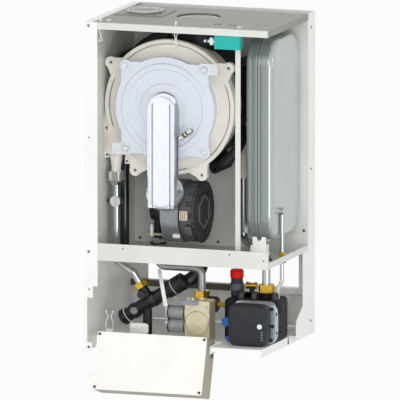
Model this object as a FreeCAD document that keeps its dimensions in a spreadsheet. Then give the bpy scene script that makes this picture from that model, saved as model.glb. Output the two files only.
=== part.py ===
"""Wall-hung condensing boiler, opened for service: a parametric document of separate pieces.

Millimetres. The wall is the plane Y = 0, the appliance faces -Y, +X is to the viewer's right and +Z is up.
The origin lies on the wall, midway between the two hanging slots.
"""
import FreeCAD, Part
import math
import os
import re

import Sketcher
from FreeCAD import Placement, Rotation, Vector

doc = FreeCAD.newDocument("condensing_boiler")
sheet = doc.addObject("Spreadsheet::Sheet", "dims")
names = []
sub_parts = {}

# Turns that take a piece's own Z axis to each direction of the appliance
TURNS = {
    "Z": Rotation(),
    "-Z": Rotation(Vector(1, 0, 0), 180),
    "X": Rotation(Vector(0, 1, 0), 90),
    "-X": Rotation(Vector(0, 1, 0), -90),
    "Y": Rotation(Vector(1, 0, 0), -90),
    "-Y": Rotation(Vector(1, 0, 0), 90),
}


# Helpers: the sheet and its expressions

def sizes(named):
    """Adds named sizes to the sheet, one row each."""
    for name, number in named.items():
        names.append(name)
        row = len(names)
        sheet.set(f"A{row}", name)
        sheet.set(f"B{row}", str(number))
        sheet.setAlias(f"B{row}", name)
    doc.recompute()


def cell(name):
    """The number that the sheet holds under a name."""
    return float(sheet.get(name))


def expression(text):
    """Puts the sheet's name before each size that the text names."""
    return re.sub(r"[a-z][a-z0-9_]*", lambda m: f"dims.{m[0]}" if m[0] in names else m[0], text)


def bind(thing, prop, text):
    thing.setExpression(prop, expression(text))


def place(thing, at, turn="Z"):
    """Turns a piece and ties its place to the sheet."""
    thing.Placement = Placement(Vector(), TURNS[turn] if isinstance(turn, str) else turn)
    for letter, text in zip("xyz", at):
        bind(thing, f"Placement.Base.{letter}", text)
    return thing


def polar(radius, angle):
    """A point of a circle about the origin, as a pair of expressions."""
    return f"({radius})*cos({angle})", f"({radius})*sin({angle})"


# Helpers: primitives and booleans

def block(at, size):
    """A box from its lowest corner."""
    box = doc.addObject("Part::Box", "block")
    for prop, text in zip(("Length", "Width", "Height"), size):
        bind(box, prop, text)
    return place(box, at)


def rod(radius, length, at, turn="Z"):
    """A cylinder from the centre of its foot."""
    bar = doc.addObject("Part::Cylinder", "rod")
    bind(bar, "Radius", radius)
    bind(bar, "Height", length)
    return place(bar, at, turn)


def ball(radius, at):
    sphere = doc.addObject("Part::Sphere", "ball")
    bind(sphere, "Radius", radius)
    return place(sphere, at)


def union(*pieces):
    fused = doc.addObject("Part::MultiFuse", "union")
    fused.Shapes = list(pieces)
    fused.Refine = True
    return fused


def minus(base, *tools):
    cut = doc.addObject("Part::Cut", "cut")
    cut.Base = base
    cut.Tool = tools[0] if len(tools) == 1 else union(*tools)
    cut.Refine = True
    return cut


def together(*pieces):
    """Like pieces kept as separate solids of one sub-part."""
    group = doc.addObject("Part::Compound", "together")
    group.Links = list(pieces)
    return group


def finish(label, piece):
    """Lists a piece for export under the name of its sub-part."""
    sub_parts.setdefault(label, []).append(piece)


# Helpers: bodies with sketches

def new_body(at=("0", "0", "0"), turn="Z"):
    return place(doc.addObject("PartDesign::Body", "body"), at, turn)


def sketch(body, loops=(), circles=(), plane="XY_Plane"):
    """A sketch on one of the body's origin planes; every corner and centre is tied to the sheet."""
    drawing = body.newObject("Sketcher::SketchObject", "sketch")
    support = next(f for f in body.Origin.OriginFeatures if f.Role == plane)
    drawing.AttachmentSupport = (support, [""])
    drawing.MapMode = "FlatFace"
    for loop in loops:
        first = drawing.GeometryCount
        count = len(loop)
        corners = [Vector(*polar_seed(k, count)) for k in range(count + 1)]
        for k in range(count):
            drawing.addGeometry(Part.LineSegment(corners[k], corners[k + 1]), False)
        for k, point in enumerate(loop):
            following = first + (k + 1) % count
            drawing.addConstraint(Sketcher.Constraint("Coincident", first + k, 2, following, 1))
            tie(drawing, first + k, 1, point)
    for x, y, radius in circles:
        ring = drawing.addGeometry(Part.Circle(Vector(), Vector(0, 0, 1), 1), False)
        tie(drawing, ring, 3, (x, y))
        index = drawing.addConstraint(Sketcher.Constraint("Radius", ring, 1))
        bind(drawing, f"Constraints[{index}]", radius)
    return drawing


def polar_seed(k, count):
    """Rough first corners for a loop, before its ties move them."""
    return math.cos(math.tau * k / count), math.sin(math.tau * k / count), 0


def tie(drawing, geometry, vertex, point):
    """Holds a vertex of a sketch at its two distances from the origin."""
    for kind, axis, text in (("DistanceX", -2, point[0]), ("DistanceY", -1, point[1])):
        if text == "0":
            drawing.addConstraint(Sketcher.Constraint("PointOnObject", geometry, vertex, axis))
        else:
            index = drawing.addConstraint(Sketcher.Constraint(kind, -1, 1, geometry, vertex, 1))
            bind(drawing, f"Constraints[{index}]", text)


def pad(body, drawing, length, reverse=False):
    feature = body.newObject("PartDesign::Pad", "pad")
    feature.Profile = drawing
    feature.Reversed = reverse
    bind(feature, "Length", length)
    return feature


def pocket(body, drawing, length=None):
    """Cuts up from the sketch's plane, or both ways through everything when no length is given."""
    feature = body.newObject("PartDesign::Pocket", "pocket")
    feature.Profile = drawing
    if length is None:
        feature.Type = "ThroughAll"
        feature.Midplane = True
    else:
        feature.Reversed = True
        bind(feature, "Length", length)
    return feature


def spun(outline, at=("0", "0", "0"), turn="Z"):
    """A body turned about its own Z axis from an outline of (radius, height) corners."""
    body = new_body(at, turn)
    feature = body.newObject("PartDesign::Revolution", "revolution")
    feature.Profile = sketch(body, [outline], plane="XZ_Plane")
    feature.ReferenceAxis = (feature.Profile[0], ["V_Axis"])
    feature.Angle = 360
    return body


def padded(outline, length, at=("0", "0", "0"), turn="Z", circles=()):
    """A body padded up its own Z axis from an outline, with round holes through it."""
    body = new_body(at, turn)
    pad(body, sketch(body, [outline] if outline else [], circles), length)
    return body


def rectangle(x0, y0, x1, y1):
    return [(x0, y0), (x1, y0), (x1, y1), (x0, y1)]


def soften(body, radius, chosen):
    """Rounds the edges of a body's last feature that a test picks."""
    doc.recompute()
    base = body.Tip
    edges = [f"Edge{k}" for k, edge in enumerate(base.Shape.Edges, 1) if chosen(edge)]
    feature = body.newObject("PartDesign::Fillet", "fillet")
    feature.Base = (base, edges)
    bind(feature, "Radius", radius)
    return feature


def upright(edge):
    """Straight edges along the body's Z axis."""
    return edge.Curve.TypeId == "Part::GeomLine" and abs(edge.tangentAt(edge.FirstParameter).z) > 1 - 1e-6


def soften_top(body, radius):
    """Rounds the edges round a body's highest face."""
    doc.recompute()
    top = max(v.Z for v in body.Tip.Shape.Vertexes)
    return soften(body, radius, lambda edge: all(abs(v.Z - top) < 1e-6 for v in edge.Vertexes))


def hexagon(across, height, at, turn="Z", bore=None):
    """A hexagon nut by its width across flats."""
    corners = [polar(f"{across}/sqrt(3)", str(60 * k)) for k in range(6)]
    return padded(corners, height, at, turn, [("0", "0", bore)] if bore else ())


# Helpers: bent pipes

def route_wire(points, bend):
    """Straight runs joined by arcs of one bend radius."""
    edges = []
    last = points[0]
    for before, corner, after in zip(points, points[1:], points[2:]):
        back = (before - corner).normalize()
        ahead = (after - corner).normalize()
        half = back.getAngle(ahead) / 2
        start = corner + back * (bend / math.tan(half))
        end = corner + ahead * (bend / math.tan(half))
        inward = (back + ahead).normalize()
        middle = corner + inward * (bend / math.sin(half) - bend)
        edges.append(Part.LineSegment(last, start).toShape())
        edges.append(Part.Arc(start, middle, end).toShape())
        last = end
    edges.append(Part.LineSegment(last, points[-1]).toShape())
    return Part.Wire(edges)


def pipe(route, radius, bend, wall=None):
    """A bent pipe along a route of expression triples; hollow when a wall is named."""
    marks = []
    for x, y, z in route:
        mark = doc.addObject("Part::Vertex", "mark")
        for prop, text in zip(("X", "Y", "Z"), (x, y, z)):
            bind(mark, prop, text)
        marks.append(mark)
    doc.recompute()
    points = [Vector(mark.X.Value, mark.Y.Value, mark.Z.Value) for mark in marks]
    spine = route_wire(points, cell(bend))
    heading = points[1] - points[0]

    def swept(size):
        ring = Part.Wire(Part.Circle(points[0], heading, size).toShape())
        return spine.makePipeShell([ring], True, False)

    shape = swept(cell(radius))
    if wall:
        shape = shape.cut(swept(cell(radius) - cell(wall)))
    feature = doc.addObject("Part::Feature", "pipe")
    feature.Shape = shape
    feature.Placement = Placement()
    return feature


# Overall frame: the sizes and planes that the rest is measured from
FRAME_SIZES = {
    "hook_spacing": 300, "hook_slot": 26, "hook_bore": 11, "sheet": 1.2, "fit_gap": 0.3,
    "running_gap": 0.1, "overrun": 5, "rear_gap": 50, "chamber_inset": 21, "tray_front": 42,
    "tray_lip": 15, "top_lip": 16.5, "shelf_level": 28, "shelf_thick": 1.5, "hook_drop": 40,
    "front_space": 40, "exchanger_gap": 6, "vessel_gap": 24, "flue_space": 43, "fan_space": 203.8,
    "pipe_space": 92.5,
}
sizes(FRAME_SIZES)
LEFT = "(-frame_width/2)"
RIGHT = "(frame_width/2)"
FRONT = "(-frame_depth)"
BASE = "(-hook_height)"
TOP = "(frame_height - hook_height)"
CHAMBER_LEFT = f"({LEFT} + chamber_inset)"
CHAMBER_FRONT = f"({FRONT} + sheet + fit_gap)"
CHAMBER_WIDTH = "(frame_width - chamber_inset)"
CHAMBER_DEPTH = "(frame_depth - sheet - fit_gap - rear_gap)"
FLOOR = f"({BASE} + tray_level)"
DECK = f"({FLOOR} + sheet)"
CEILING = f"({TOP} - sheet)"
SHELF = f"({BASE} + shelf_level + shelf_thick)"
BACK_WALL = "(-rear_gap - 2*sheet)"

# Frame and casing
CASING_SIZES = {
    "panel_flange": 34, "panel_step": 22, "panel_slim": 7.5, "panel_foot": 19.5, "panel_foot_height": 24,
    "panel_slim_top": 133, "panel_step_top": 161, "rear_lip": 40, "upright_foot": 18, "upright_wide": 88,
    "gusset_depth": 137, "gusset_level": 65, "gusset_top": 97, "back_plate_foot": 30,
    "back_plate_top": 126, "back_plate_fold": 20, "back_plate_drop": 15, "shelf_side_gap": 16,
    "shelf_fold": 20, "shelf_set": 76, "nose_gap": 13, "panel_lap": 9,
}
sizes(CASING_SIZES)


def left_side_panel():
    side = block((LEFT, FRONT, BASE), ("sheet", "frame_depth", "frame_height"))
    corners = [
        ("0", "0"), ("panel_foot", "0"), ("panel_foot", "panel_foot_height"),
        ("panel_slim", "panel_foot_height"), ("panel_slim", "panel_slim_top"),
        ("panel_step", "panel_slim_top"), ("panel_step", "panel_step_top"),
        ("panel_flange", "panel_step_top"), ("panel_flange", "frame_height"), ("0", "frame_height"),
    ]
    flange = padded(corners, "sheet", (LEFT, f"{FRONT} + sheet", BASE), "-Y")
    rear = block((LEFT, "-2*sheet", BASE), ("rear_lip", "sheet", "frame_height"))
    roof = block((LEFT, FRONT, CEILING), ("chamber_inset - fit_gap", "frame_depth - sheet", "sheet"))
    finish("left_side_panel", union(side, flange, rear, roof))


def right_upright():
    corners = [
        ("0", "upright_foot"), ("0", "frame_height"), ("-rear_gap", "frame_height"),
        ("-rear_gap", "tray_level"), ("-upright_wide", "tray_level"), ("-upright_wide", "gusset_top"),
        ("-gusset_depth", "gusset_level"), ("-gusset_depth", "upright_foot"),
    ]
    body = new_body((f"{RIGHT} - sheet", "0", BASE))
    pad(body, sketch(body, [corners], plane="YZ_Plane"), "sheet")
    rear = block((f"{RIGHT} - rear_lip", "-2*sheet", f"{BASE} + upright_foot"),
                 ("rear_lip", "sheet", "frame_height - upright_foot"))
    finish("right_upright", union(body, rear))


def rear_panel():
    inner = "(frame_width - 2*sheet)"
    plate = block((f"-{inner}/2", "-sheet", f"{BASE} + rear_panel_foot"),
                  (inner, "sheet", "frame_height - rear_panel_foot"))
    cutters = []
    for side in ("-1", "1"):
        middle = f"{side}*hook_spacing/2"
        reach = "(hook_slot - hook_bore)"
        cutters.append(block((f"{middle} - {reach}/2", "-sheet - overrun", "-hook_bore/2"),
                             (reach, "sheet + 2*overrun", "hook_bore")))
        for end in ("-1", "1"):
            cutters.append(rod("hook_bore/2", "sheet + 2*overrun",
                               (f"{middle} + {end}*{reach}/2", "-sheet - overrun", "0"), "Y"))
    finish("rear_panel", minus(plate, *cutters))


def lower_back_plate():
    wide = "(frame_width - 2*sheet)"
    body = new_body((f"-{wide}/2", "0", BASE))
    corners = [
        ("0", "back_plate_foot"), ("0", "back_plate_top"), ("-back_plate_fold", "back_plate_top"),
        ("-back_plate_fold", "back_plate_top - back_plate_drop"),
        ("sheet - back_plate_fold", "back_plate_top - back_plate_drop"),
        ("sheet - back_plate_fold", "back_plate_top - sheet"),
        ("-sheet", "back_plate_top - sheet"), ("-sheet", "back_plate_foot"),
    ]
    pad(body, sketch(body, [corners], plane="YZ_Plane"), wide)
    lips = [block((LEFT, "-2*sheet - fit_gap/2", BASE),
                  ("rear_lip + fit_gap", "sheet + fit_gap", "frame_height")),
            block((f"{RIGHT} - rear_lip - fit_gap", "-2*sheet - fit_gap/2", BASE),
                  ("rear_lip + fit_gap", "sheet + fit_gap", "frame_height")),
            block((f"{RIGHT} - sheet - fit_gap", "-overrun - back_plate_fold", BASE),
                  ("sheet", "overrun + back_plate_fold", "frame_height"))]
    finish("lower_back_plate", minus(body, *lips))


def bottom_shelf(holes):
    """Plate with a nose under the pump, folded down along its front and right edges."""
    right = f"({RIGHT} - shelf_side_gap)"
    low = f"({SHELF} - shelf_thick)"
    plate = block((f"{LEFT} + sheet", "-shelf_front", low),
                  (f"{right} - {LEFT} - sheet", "shelf_front - 2*sheet", "shelf_thick"))
    nose = block(("shelf_nose_left", FRONT, low), (f"{right} - shelf_nose_left", "frame_depth - shelf_front",
                                                   "shelf_thick"))
    fold = block((f"{right} - shelf_thick", FRONT, f"{SHELF} - shelf_fold"),
                 ("shelf_thick", "frame_depth - 2*sheet", "shelf_fold"))
    lip = block(("shelf_nose_left", FRONT, f"{SHELF} - shelf_fold/2"),
                (f"{right} - shelf_nose_left", "shelf_thick", "shelf_fold/2"))
    tab = block((right, "-gusset_depth", low), ("shelf_side_gap - sheet", "gusset_depth - 2*sheet - fit_gap",
                                               "shelf_thick"))
    bores = [rod(radius, "shelf_fold + 2*overrun", (x, y, f"{SHELF} - shelf_fold - overrun"))
             for x, y, radius in holes]
    lips = block((LEFT, "-2*sheet - fit_gap", BASE), ("frame_width", "2*sheet + fit_gap", "frame_height"))
    finish("bottom_shelf", minus(union(plate, nose, fold, lip, tab), lips, *bores))


# Sealed chamber
CHAMBER_SIZES = {
    "flue_hole": 53, "flue_bore": 40.4, "flue_collar": 49, "flue_drop": 5, "flue_height": 55,
    "intake_left": 89, "intake_back": 114, "intake_width": 122, "intake_depth": 112, "intake_hole": 38,
    "intake_cap": 43, "intake_rise": 5, "intake_plate": 1.6, "intake_pitch": 73, "slot_long": 18,
    "slot_wide": 5, "slot_left": 14, "emboss_width": 60, "emboss_height": 300, "emboss_rise": 1.5,
    "emboss_edge": 70, "post_right": 85, "post_back": 28, "post_width": 12.5, "post_thick": 2.5,
    "screw_radius": 3.2, "screw_rise": 2, "flue_side": 38, "flue_share": 110/215,
}
sizes(CHAMBER_SIZES)
FLUE = ("flue_x", "(-flue_y)")
INTAKE_X = f"({LEFT} + intake_left)"
INTAKE_Y = "(-rear_gap - intake_back)"
POST_X = f"({RIGHT} - post_right)"
POST_Y = f"({CHAMBER_FRONT} + post_back)"


def chamber_top():
    """Shallow pan, open below, with the flue and air intake holes and two small slots at its front."""
    at = (CHAMBER_LEFT, CHAMBER_FRONT, f"{TOP} - top_lip")
    body = padded(rectangle("0", "0", CHAMBER_WIDTH, CHAMBER_DEPTH), "top_lip", at)
    inside = rectangle("sheet", "sheet", f"{CHAMBER_WIDTH} - sheet", f"{CHAMBER_DEPTH} - sheet")
    pocket(body, sketch(body, [inside]), "top_lip - sheet")
    holes = [(f"{FLUE[0]} - {CHAMBER_LEFT}", f"{FLUE[1]} - {CHAMBER_FRONT}", "flue_hole"),
             (f"{INTAKE_X} - {CHAMBER_LEFT}", f"{INTAKE_Y} - {CHAMBER_FRONT}", "intake_hole")]
    slots = [rectangle(x, "slot_wide", f"{x} + slot_long", "2*slot_wide")
             for x in ("slot_left", f"{POST_X} - {CHAMBER_LEFT} - slot_long/2")]
    pocket(body, sketch(body, slots, holes))
    finish("chamber_top", body)


def chamber_tray(holes):
    """Tray with a high front and low lips on its other sides, pierced where pipes pass."""
    at = (CHAMBER_LEFT, CHAMBER_FRONT, FLOOR)
    body = padded(rectangle("0", "0", CHAMBER_WIDTH, CHAMBER_DEPTH), "tray_front", at)
    hollow = block((f"{CHAMBER_LEFT} + sheet", f"{CHAMBER_FRONT} + sheet", DECK),
                   (f"{CHAMBER_WIDTH} - 2*sheet", f"{CHAMBER_DEPTH} - 2*sheet", "tray_front"))
    sides = block((f"{CHAMBER_LEFT} - overrun", f"{CHAMBER_FRONT} + tray_lip/2", f"{FLOOR} + tray_lip"),
                  (f"{CHAMBER_WIDTH} + 2*overrun", CHAMBER_DEPTH, "tray_front"))
    bores = [rod(radius, "sheet + 2*overrun", (x, y, f"{FLOOR} - overrun")) for x, y, radius in holes]
    finish("chamber_tray", minus(body, hollow, sides, *bores))


def chamber_walls():
    """Back and left walls, standing on the tray inside its lips, with shallow pressed panels."""
    height = f"({CEILING} - {DECK})"
    left = f"{CHAMBER_LEFT} + sheet"
    back = block((left, BACK_WALL, DECK), (f"{CHAMBER_WIDTH} - 2*sheet", "sheet", height))
    middle = f"({DECK} + {height}/2 - emboss_height/2)"
    presses = [block((x, f"{BACK_WALL} - emboss_rise", middle),
                     ("emboss_width", "emboss_rise", "emboss_height"))
               for x in (f"{CHAMBER_LEFT} + emboss_edge", f"{RIGHT} - emboss_edge - emboss_width")]
    finish("chamber_walls", union(back, *presses))
    depth = f"({BACK_WALL} - {CHAMBER_FRONT} - sheet)"
    wall = block((left, f"{CHAMBER_FRONT} + sheet", DECK), ("sheet", depth, height))
    finish("chamber_walls", wall)


def front_post():
    bar = block((f"{POST_X} - post_width/2", POST_Y, DECK),
                ("post_width", "post_thick", f"{CEILING} - {DECK}"))
    finish("front_post", bar)


def air_intake():
    """Plate over the intake hole with a low round cap, held by four screws."""
    at = (INTAKE_X, INTAKE_Y, TOP)
    half = ("intake_width/2", "intake_depth/2")
    body = padded(rectangle(f"-{half[0]}", f"-{half[1]}", *half), "intake_plate", at)
    soften(body, "intake_rise", upright)
    cap = spun([("0", "0"), ("intake_cap", "0"), ("intake_cap", "intake_rise/2"),
                ("intake_cap - intake_rise/2", "intake_rise"), ("0", "intake_rise")],
               (INTAKE_X, INTAKE_Y, f"{TOP} + intake_plate"))
    heads = [rod("screw_radius", "screw_rise", (f"{INTAKE_X} + {i}*intake_pitch/2",
                                                f"{INTAKE_Y} + {j}*intake_pitch/2", f"{TOP} + intake_plate"))
             for i in ("-1", "1") for j in ("-1", "1")]
    finish("air_intake_plate", body)
    finish("air_intake_plate", cap)
    finish("fixing_screws", together(*heads))


# Heat exchanger and burner
EXCHANGER_SIZES = {
    "exchanger_back": 64, "exchanger_depth": 215, "shell_radius": 150, "shell_wall": 4,
    "shell_split": 120, "rim_width": 12, "rim_bead": 4, "ear_end": 14, "ear_root": 34, "ear_bore": 4,
    "ear_thick": 13, "boss_radius": 11, "boss_foot": 20, "ear_angle_a": 34, "ear_angle_b": 146,
    "ear_angle_c": 241, "ear_angle_d": 297, "header_depth": 92.5, "header_angle_a": 232,
    "header_angle_b": 218, "header_angle_c": 201, "coil_tube": 7, "coil_pitch": 24, "coil_turns": 7,
    "header_share": 0.8, "burner_radius": 32, "burner_wall": 1.5, "burner_length": 150,
    "burner_flange": 48, "insulation": 8, "door_plate": 7, "door_rise": 31, "lobe_root": 46,
    "lobe_end": 15, "step_rise": 2.5, "stud_radius": 4, "nut_across": 13, "nut_height": 6,
    "boss_wall_share": 0.75, "rim_step": 14, "ear_step": 30, "seat_step": 38, "coil_step": 48,
    "door_step": 25, "groove_step": 14, "header_step": 7, "door_pitch_share": 4/3,
    "step_three_share": 63/125, "header_low_share": 121/150, "header_right_share": 93/150,
    "header_high_share": 53/150,
}
sizes(EXCHANGER_SIZES)
HX = f"({CHAMBER_LEFT} + exchanger_side)"
HZ = f"({TOP} - exchanger_drop)"
SHELL_AT = (HX, "-exchanger_back", HZ)
EARS = ["ear_angle_a", "ear_angle_b", "ear_angle_c", "ear_angle_d"]
SEAT = "(exchanger_depth - rim_bead)"
DOOR_FACE = "(exchanger_depth + door_rise)"
STUDS = [(f"{i}*door_pitch/2", f"{j}*door_pitch/2") for i in ("-1", "1") for j in ("-1", "1")]


def ear_loop(angle, inner, reach, root, half):
    """A lug's sides, from its wide root inside the wall out to the lug's hole."""
    corners = []
    for radius, side in ((inner, f"-{root}"), (reach, f"-{half}"), (reach, half), (inner, root)):
        corners.append((f"({radius})*cos({angle}) - ({side})*sin({angle})",
                        f"({radius})*sin({angle}) + ({side})*cos({angle})"))
    return corners


def lugs(body, inner, root, half, foot, length):
    """Adds four lugs with round ends to a shell, from a height on its axis."""
    shapes = []
    for angle in EARS:
        x, z = polar("ear_radius", angle)
        y = f"-exchanger_back - {foot}"
        shapes.append(padded(ear_loop(angle, inner, "ear_radius", root, half), length, (HX, y, HZ), "-Y"))
        shapes.append(rod(half, length, (f"{HX} + {x}", y, f"{HZ} + {z}"), "-Y"))
    return union(body, *shapes)


def ear_bores():
    bores = []
    for angle in EARS:
        x, z = polar("ear_radius", angle)
        bores.append(rod("ear_bore", "exchanger_depth + 2*overrun",
                         (f"{HX} + {x}", "overrun - exchanger_back",
                                                                     f"{HZ} + {z}"), "-Y"))
    return bores


def rear_shell():
    """Dark rear half of the exchanger: a closed drum with long lugs and the flue spigot on top."""
    wall = "(shell_radius - shell_wall)"
    drum = spun([("0", "0"), ("shell_radius - 4*shell_wall", "0"), ("shell_radius", "4*shell_wall"),
                 ("shell_radius", "shell_split"), (wall, "shell_split"), (wall, "4*shell_wall"),
                 ("shell_radius - 5*shell_wall", "shell_wall"), ("0", "shell_wall")], SHELL_AT, "-Y")
    body = lugs(drum, f"{wall} + shell_wall*boss_wall_share", "boss_radius", "boss_radius", "boss_foot",
                "shell_split - boss_foot")
    spigot_foot = f"({HZ} + shell_radius - 5*shell_wall)"
    spigot_top = f"({TOP} - flue_drop - flue_height/2)"
    spigot = rod("flue_bore + shell_wall", f"{spigot_top} - {spigot_foot}", (*FLUE, spigot_foot))
    bore = rod("flue_bore - shell_wall/2", "flue_height + 5*shell_wall",
               (*FLUE, f"{spigot_foot} - shell_wall"))
    hollow = rod(wall, "exchanger_depth",
                 (HX, "-exchanger_back - 5*shell_wall", HZ), "-Y")
    finish("exchanger_rear_shell", minus(union(body, minus(spigot, hollow)), bore, *ear_bores()))
    collar = spun([("flue_bore", "0"), ("flue_collar", "0"), ("flue_collar", "flue_height/2 - shell_wall"),
                   ("flue_collar + shell_wall/2", "flue_height/2 - shell_wall"),
                   ("flue_collar + shell_wall/2", "flue_height/2"), ("flue_bore", "flue_height/2")],
                  (*FLUE, spigot_top))
    finish("flue_collar", collar)


def front_shell():
    """Cream front half: a rolled rim with a stepped seat for the door, lugs and the flow header's corner."""
    wall = "(shell_radius - shell_wall)"
    neck = "(exchanger_depth - rim_width)"
    ring = spun([(wall, "shell_split"), ("shell_radius", "shell_split"),
                 ("shell_radius + shell_wall", neck), ("rim_radius", neck),
                 ("rim_radius", "exchanger_depth - rim_bead/2"),
                 ("rim_radius - rim_bead/2", "exchanger_depth"),
                 ("rim_radius - 2*rim_bead", "exchanger_depth"), ("rim_radius - 3*rim_bead", SEAT),
                 ("seat_radius", SEAT), ("seat_radius", neck), (wall, neck)], SHELL_AT, "-Y")
    lugged = lugs(ring, "shell_radius", "ear_root", "ear_end",
                  "(exchanger_depth - ear_thick - rim_bead/2)", "ear_thick")
    corner = padded([("-header_left", "-header_low"), ("-header_right", "-header_low"),
                     polar("shell_radius", "header_angle_a"), polar("shell_radius", "header_angle_b"),
                     polar("shell_radius", "header_angle_c"), ("-header_left", "-header_high")],
                    "header_depth", (HX, "-exchanger_back - exchanger_depth + header_depth + rim_bead/2",
                                     HZ), "-Y")
    passage = rod("flue_bore + shell_wall + fit_gap", f"{TOP} - {HZ}", (*FLUE, HZ))
    finish("exchanger_front_shell", minus(union(lugged, corner), passage, *ear_bores()))


def coil():
    """Stacked rings of water tube inside the shells, joined by two headers."""
    foot = "(shell_wall + coil_tube + running_gap)"
    rings = []
    for k in range(int(cell("coil_turns"))):
        ring = doc.addObject("Part::Torus", "ring")
        bind(ring, "Radius1", "coil_radius")
        bind(ring, "Radius2", "coil_tube")
        rings.append(place(ring, (HX, f"-exchanger_back - {foot} - {k}*coil_pitch", HZ), "-Y"))
    headers = [rod("coil_tube*header_share", "coil_pitch*(coil_turns - 1)",
                   (f"{HX} + {side}*coil_radius", f"-exchanger_back - {foot}", HZ), "-Y")
               for side in ("-1", "1")]
    finish("exchanger_coil", union(*rings, *headers))


def burner():
    end = f"({DOOR_FACE} - door_plate - burner_length)"
    mouth = f"({DOOR_FACE} - door_plate)"
    tube = spun([("0", end), ("burner_radius", end), ("burner_radius", f"{mouth} - burner_wall"),
                 ("burner_flange", f"{mouth} - burner_wall"), ("burner_flange", mouth),
                 ("burner_radius - burner_wall", mouth),
                 ("burner_radius - burner_wall", f"{end} + burner_wall"),
                 ("0", f"{end} + burner_wall")], SHELL_AT, "-Y")
    finish("burner", tube)
    pad_ring = spun([("burner_flange + fit_gap", f"{mouth} - insulation"),
                     ("door_skirt - 2*insulation", f"{mouth} - insulation"),
                     ("door_skirt - 2*insulation", mouth), ("burner_flange + fit_gap", mouth)], SHELL_AT,
                    "-Y")
    finish("burner", pad_ring)


def burner_door():
    """Cast door: a round plate in raised steps with four corner ears and a skirt that seats on the shell."""
    mouth = f"({DOOR_FACE} - door_plate)"
    disc = spun([("0", mouth), ("door_skirt - insulation", mouth), ("door_skirt - insulation", SEAT),
                 ("door_skirt + insulation", SEAT), ("door_skirt + insulation", mouth),
                 ("door_radius", mouth),
                 ("door_radius", DOOR_FACE), ("step_one", DOOR_FACE),
                 ("step_one - step_rise", f"{DOOR_FACE} + step_rise"),
                 ("step_two", f"{DOOR_FACE} + step_rise"), ("step_two - step_rise", DOOR_FACE),
                 ("step_three", DOOR_FACE), ("step_three - step_rise", f"{DOOR_FACE} + step_rise"),
                 ("0", f"{DOOR_FACE} + step_rise")], SHELL_AT, "-Y")
    ears = []
    for angle, (x, z) in zip(("225", "135", "315", "45"), STUDS):
        side = ear_loop(angle, "step_one", "door_pitch/sqrt(2)", "lobe_root", "lobe_end")
        y = f"-exchanger_back - {mouth}"
        ears += [padded(side, "door_plate", (HX, y, HZ), "-Y"),
                 rod("lobe_end", "door_plate", (f"{HX} + {x}", y, f"{HZ} + {z}"), "-Y")]
    bores = [rod("stud_radius + running_gap", "2*door_rise", (f"{HX} + {x}", f"-exchanger_back - {SEAT}",
                                                           f"{HZ} + {z}"), "-Y") for x, z in STUDS]
    finish("burner_door", minus(union(disc, *ears), *bores))


def door_studs():
    """Studs from the shell's seat through the door's ears, each with its nut."""
    shapes = []
    for x, z in STUDS:
        at = (f"{HX} + {x}", f"-exchanger_back - {SEAT}", f"{HZ} + {z}")
        stud = rod("stud_radius", f"{DOOR_FACE} - {SEAT} + 2*nut_height", at, "-Y")
        nut = hexagon("nut_across", "nut_height", (at[0], f"-exchanger_back - {DOOR_FACE}", at[2]), "-Y")
        shapes.append(union(stud, nut))
    finish("door_fixings", together(*shapes))


# Fittings on the exchanger's front
BURNER_SIZES = {
    "zinc_thick": 2, "zinc_head": 4, "bar_high": 25, "bar_length": 107, "bar_thick": 3, "bar_bore": 3.5,
    "electrode_thick": 3, "electrode_angle": 40, "ceramic_radius": 4.5, "ceramic_length": 22,
    "manifold_width": 66, "manifold_depth": 26, "manifold_base": 5, "manifold_flare": 6, "rail_width": 6,
    "rail_rise": 4, "flange_radius": 45, "flange_thick": 8, "flange_angle": 45, "flange_forward": 68,
    "flange_up": 50, "bolt_head": 5.5, "fan_setback": 70, "fan_rise": 113, "volute_radius": 76,
    "volute_width": 45, "volute_wall": 3.5, "inlet_radius": 30, "neck_radius": 25, "neck_wall": 3.5,
    "neck_length": 48, "fan_cover": 73, "fan_cover_width": 41, "scallop_radius": 7, "scallop_depth": 14,
    "scallop_count": 16, "shaft_radius": 4, "shaft_grip": 24, "wheel_radius": 64, "wheel_width": 28,
    "wheel_disc": 2.5, "wheel_hub": 12, "blade_count": 12, "blade_root": 34, "blade_thick": 1.6,
    "mixer_length": 44, "mixer_radius": 36, "mixer_mouth": 22, "gas_plate": 30, "gas_plate_thick": 4,
    "gas_drop": 62, "nut_hole_share": 0.7, "electrode_round_share": 0.47619, "fan_ring_share": 0.72,
    "fan_groove_share": 0.7, "fan_groove_end_share": 0.62, "fan_hub_share": 0.6, "scallop_set_share": 1.6,
    "mixer_neck_share": 0.7, "mixer_bore_share": 0.8, "gas_plate_share": 0.65, "gas_up_share": 0.7,
    "electrode_reach_share": 57/63, "electrode_length_share": 36/63, "electrode_width_share": 13/63,
    "zinc_in": 12, "zinc_out": 34, "zinc_under": 13, "zinc_over": 15, "zinc_reach": 24, "fan_side": 11,
}
sizes(BURNER_SIZES)
FACE_Y = f"(-exchanger_back - {DOOR_FACE})"
FAN_X = f"({CHAMBER_LEFT} + fan_left)"
FAN_Y = f"({FACE_Y} + fan_setback)"
FAN_Z = f"({DECK} + fan_rise)"
FLANGE_Y = f"({FAN_Y} - flange_forward)"
FLANGE_Z = f"({FAN_Z} + flange_up)"
TILT = Rotation(Vector(1, 0, 0), cell("flange_angle"))


def along_tilt(distance):
    """A point of the fan outlet's tilted axis, measured up from the flange's middle."""
    return (HX, f"{FLANGE_Y} - ({distance})*sin(flange_angle)",
            f"{FLANGE_Z} + ({distance})*cos(flange_angle)")


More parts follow.
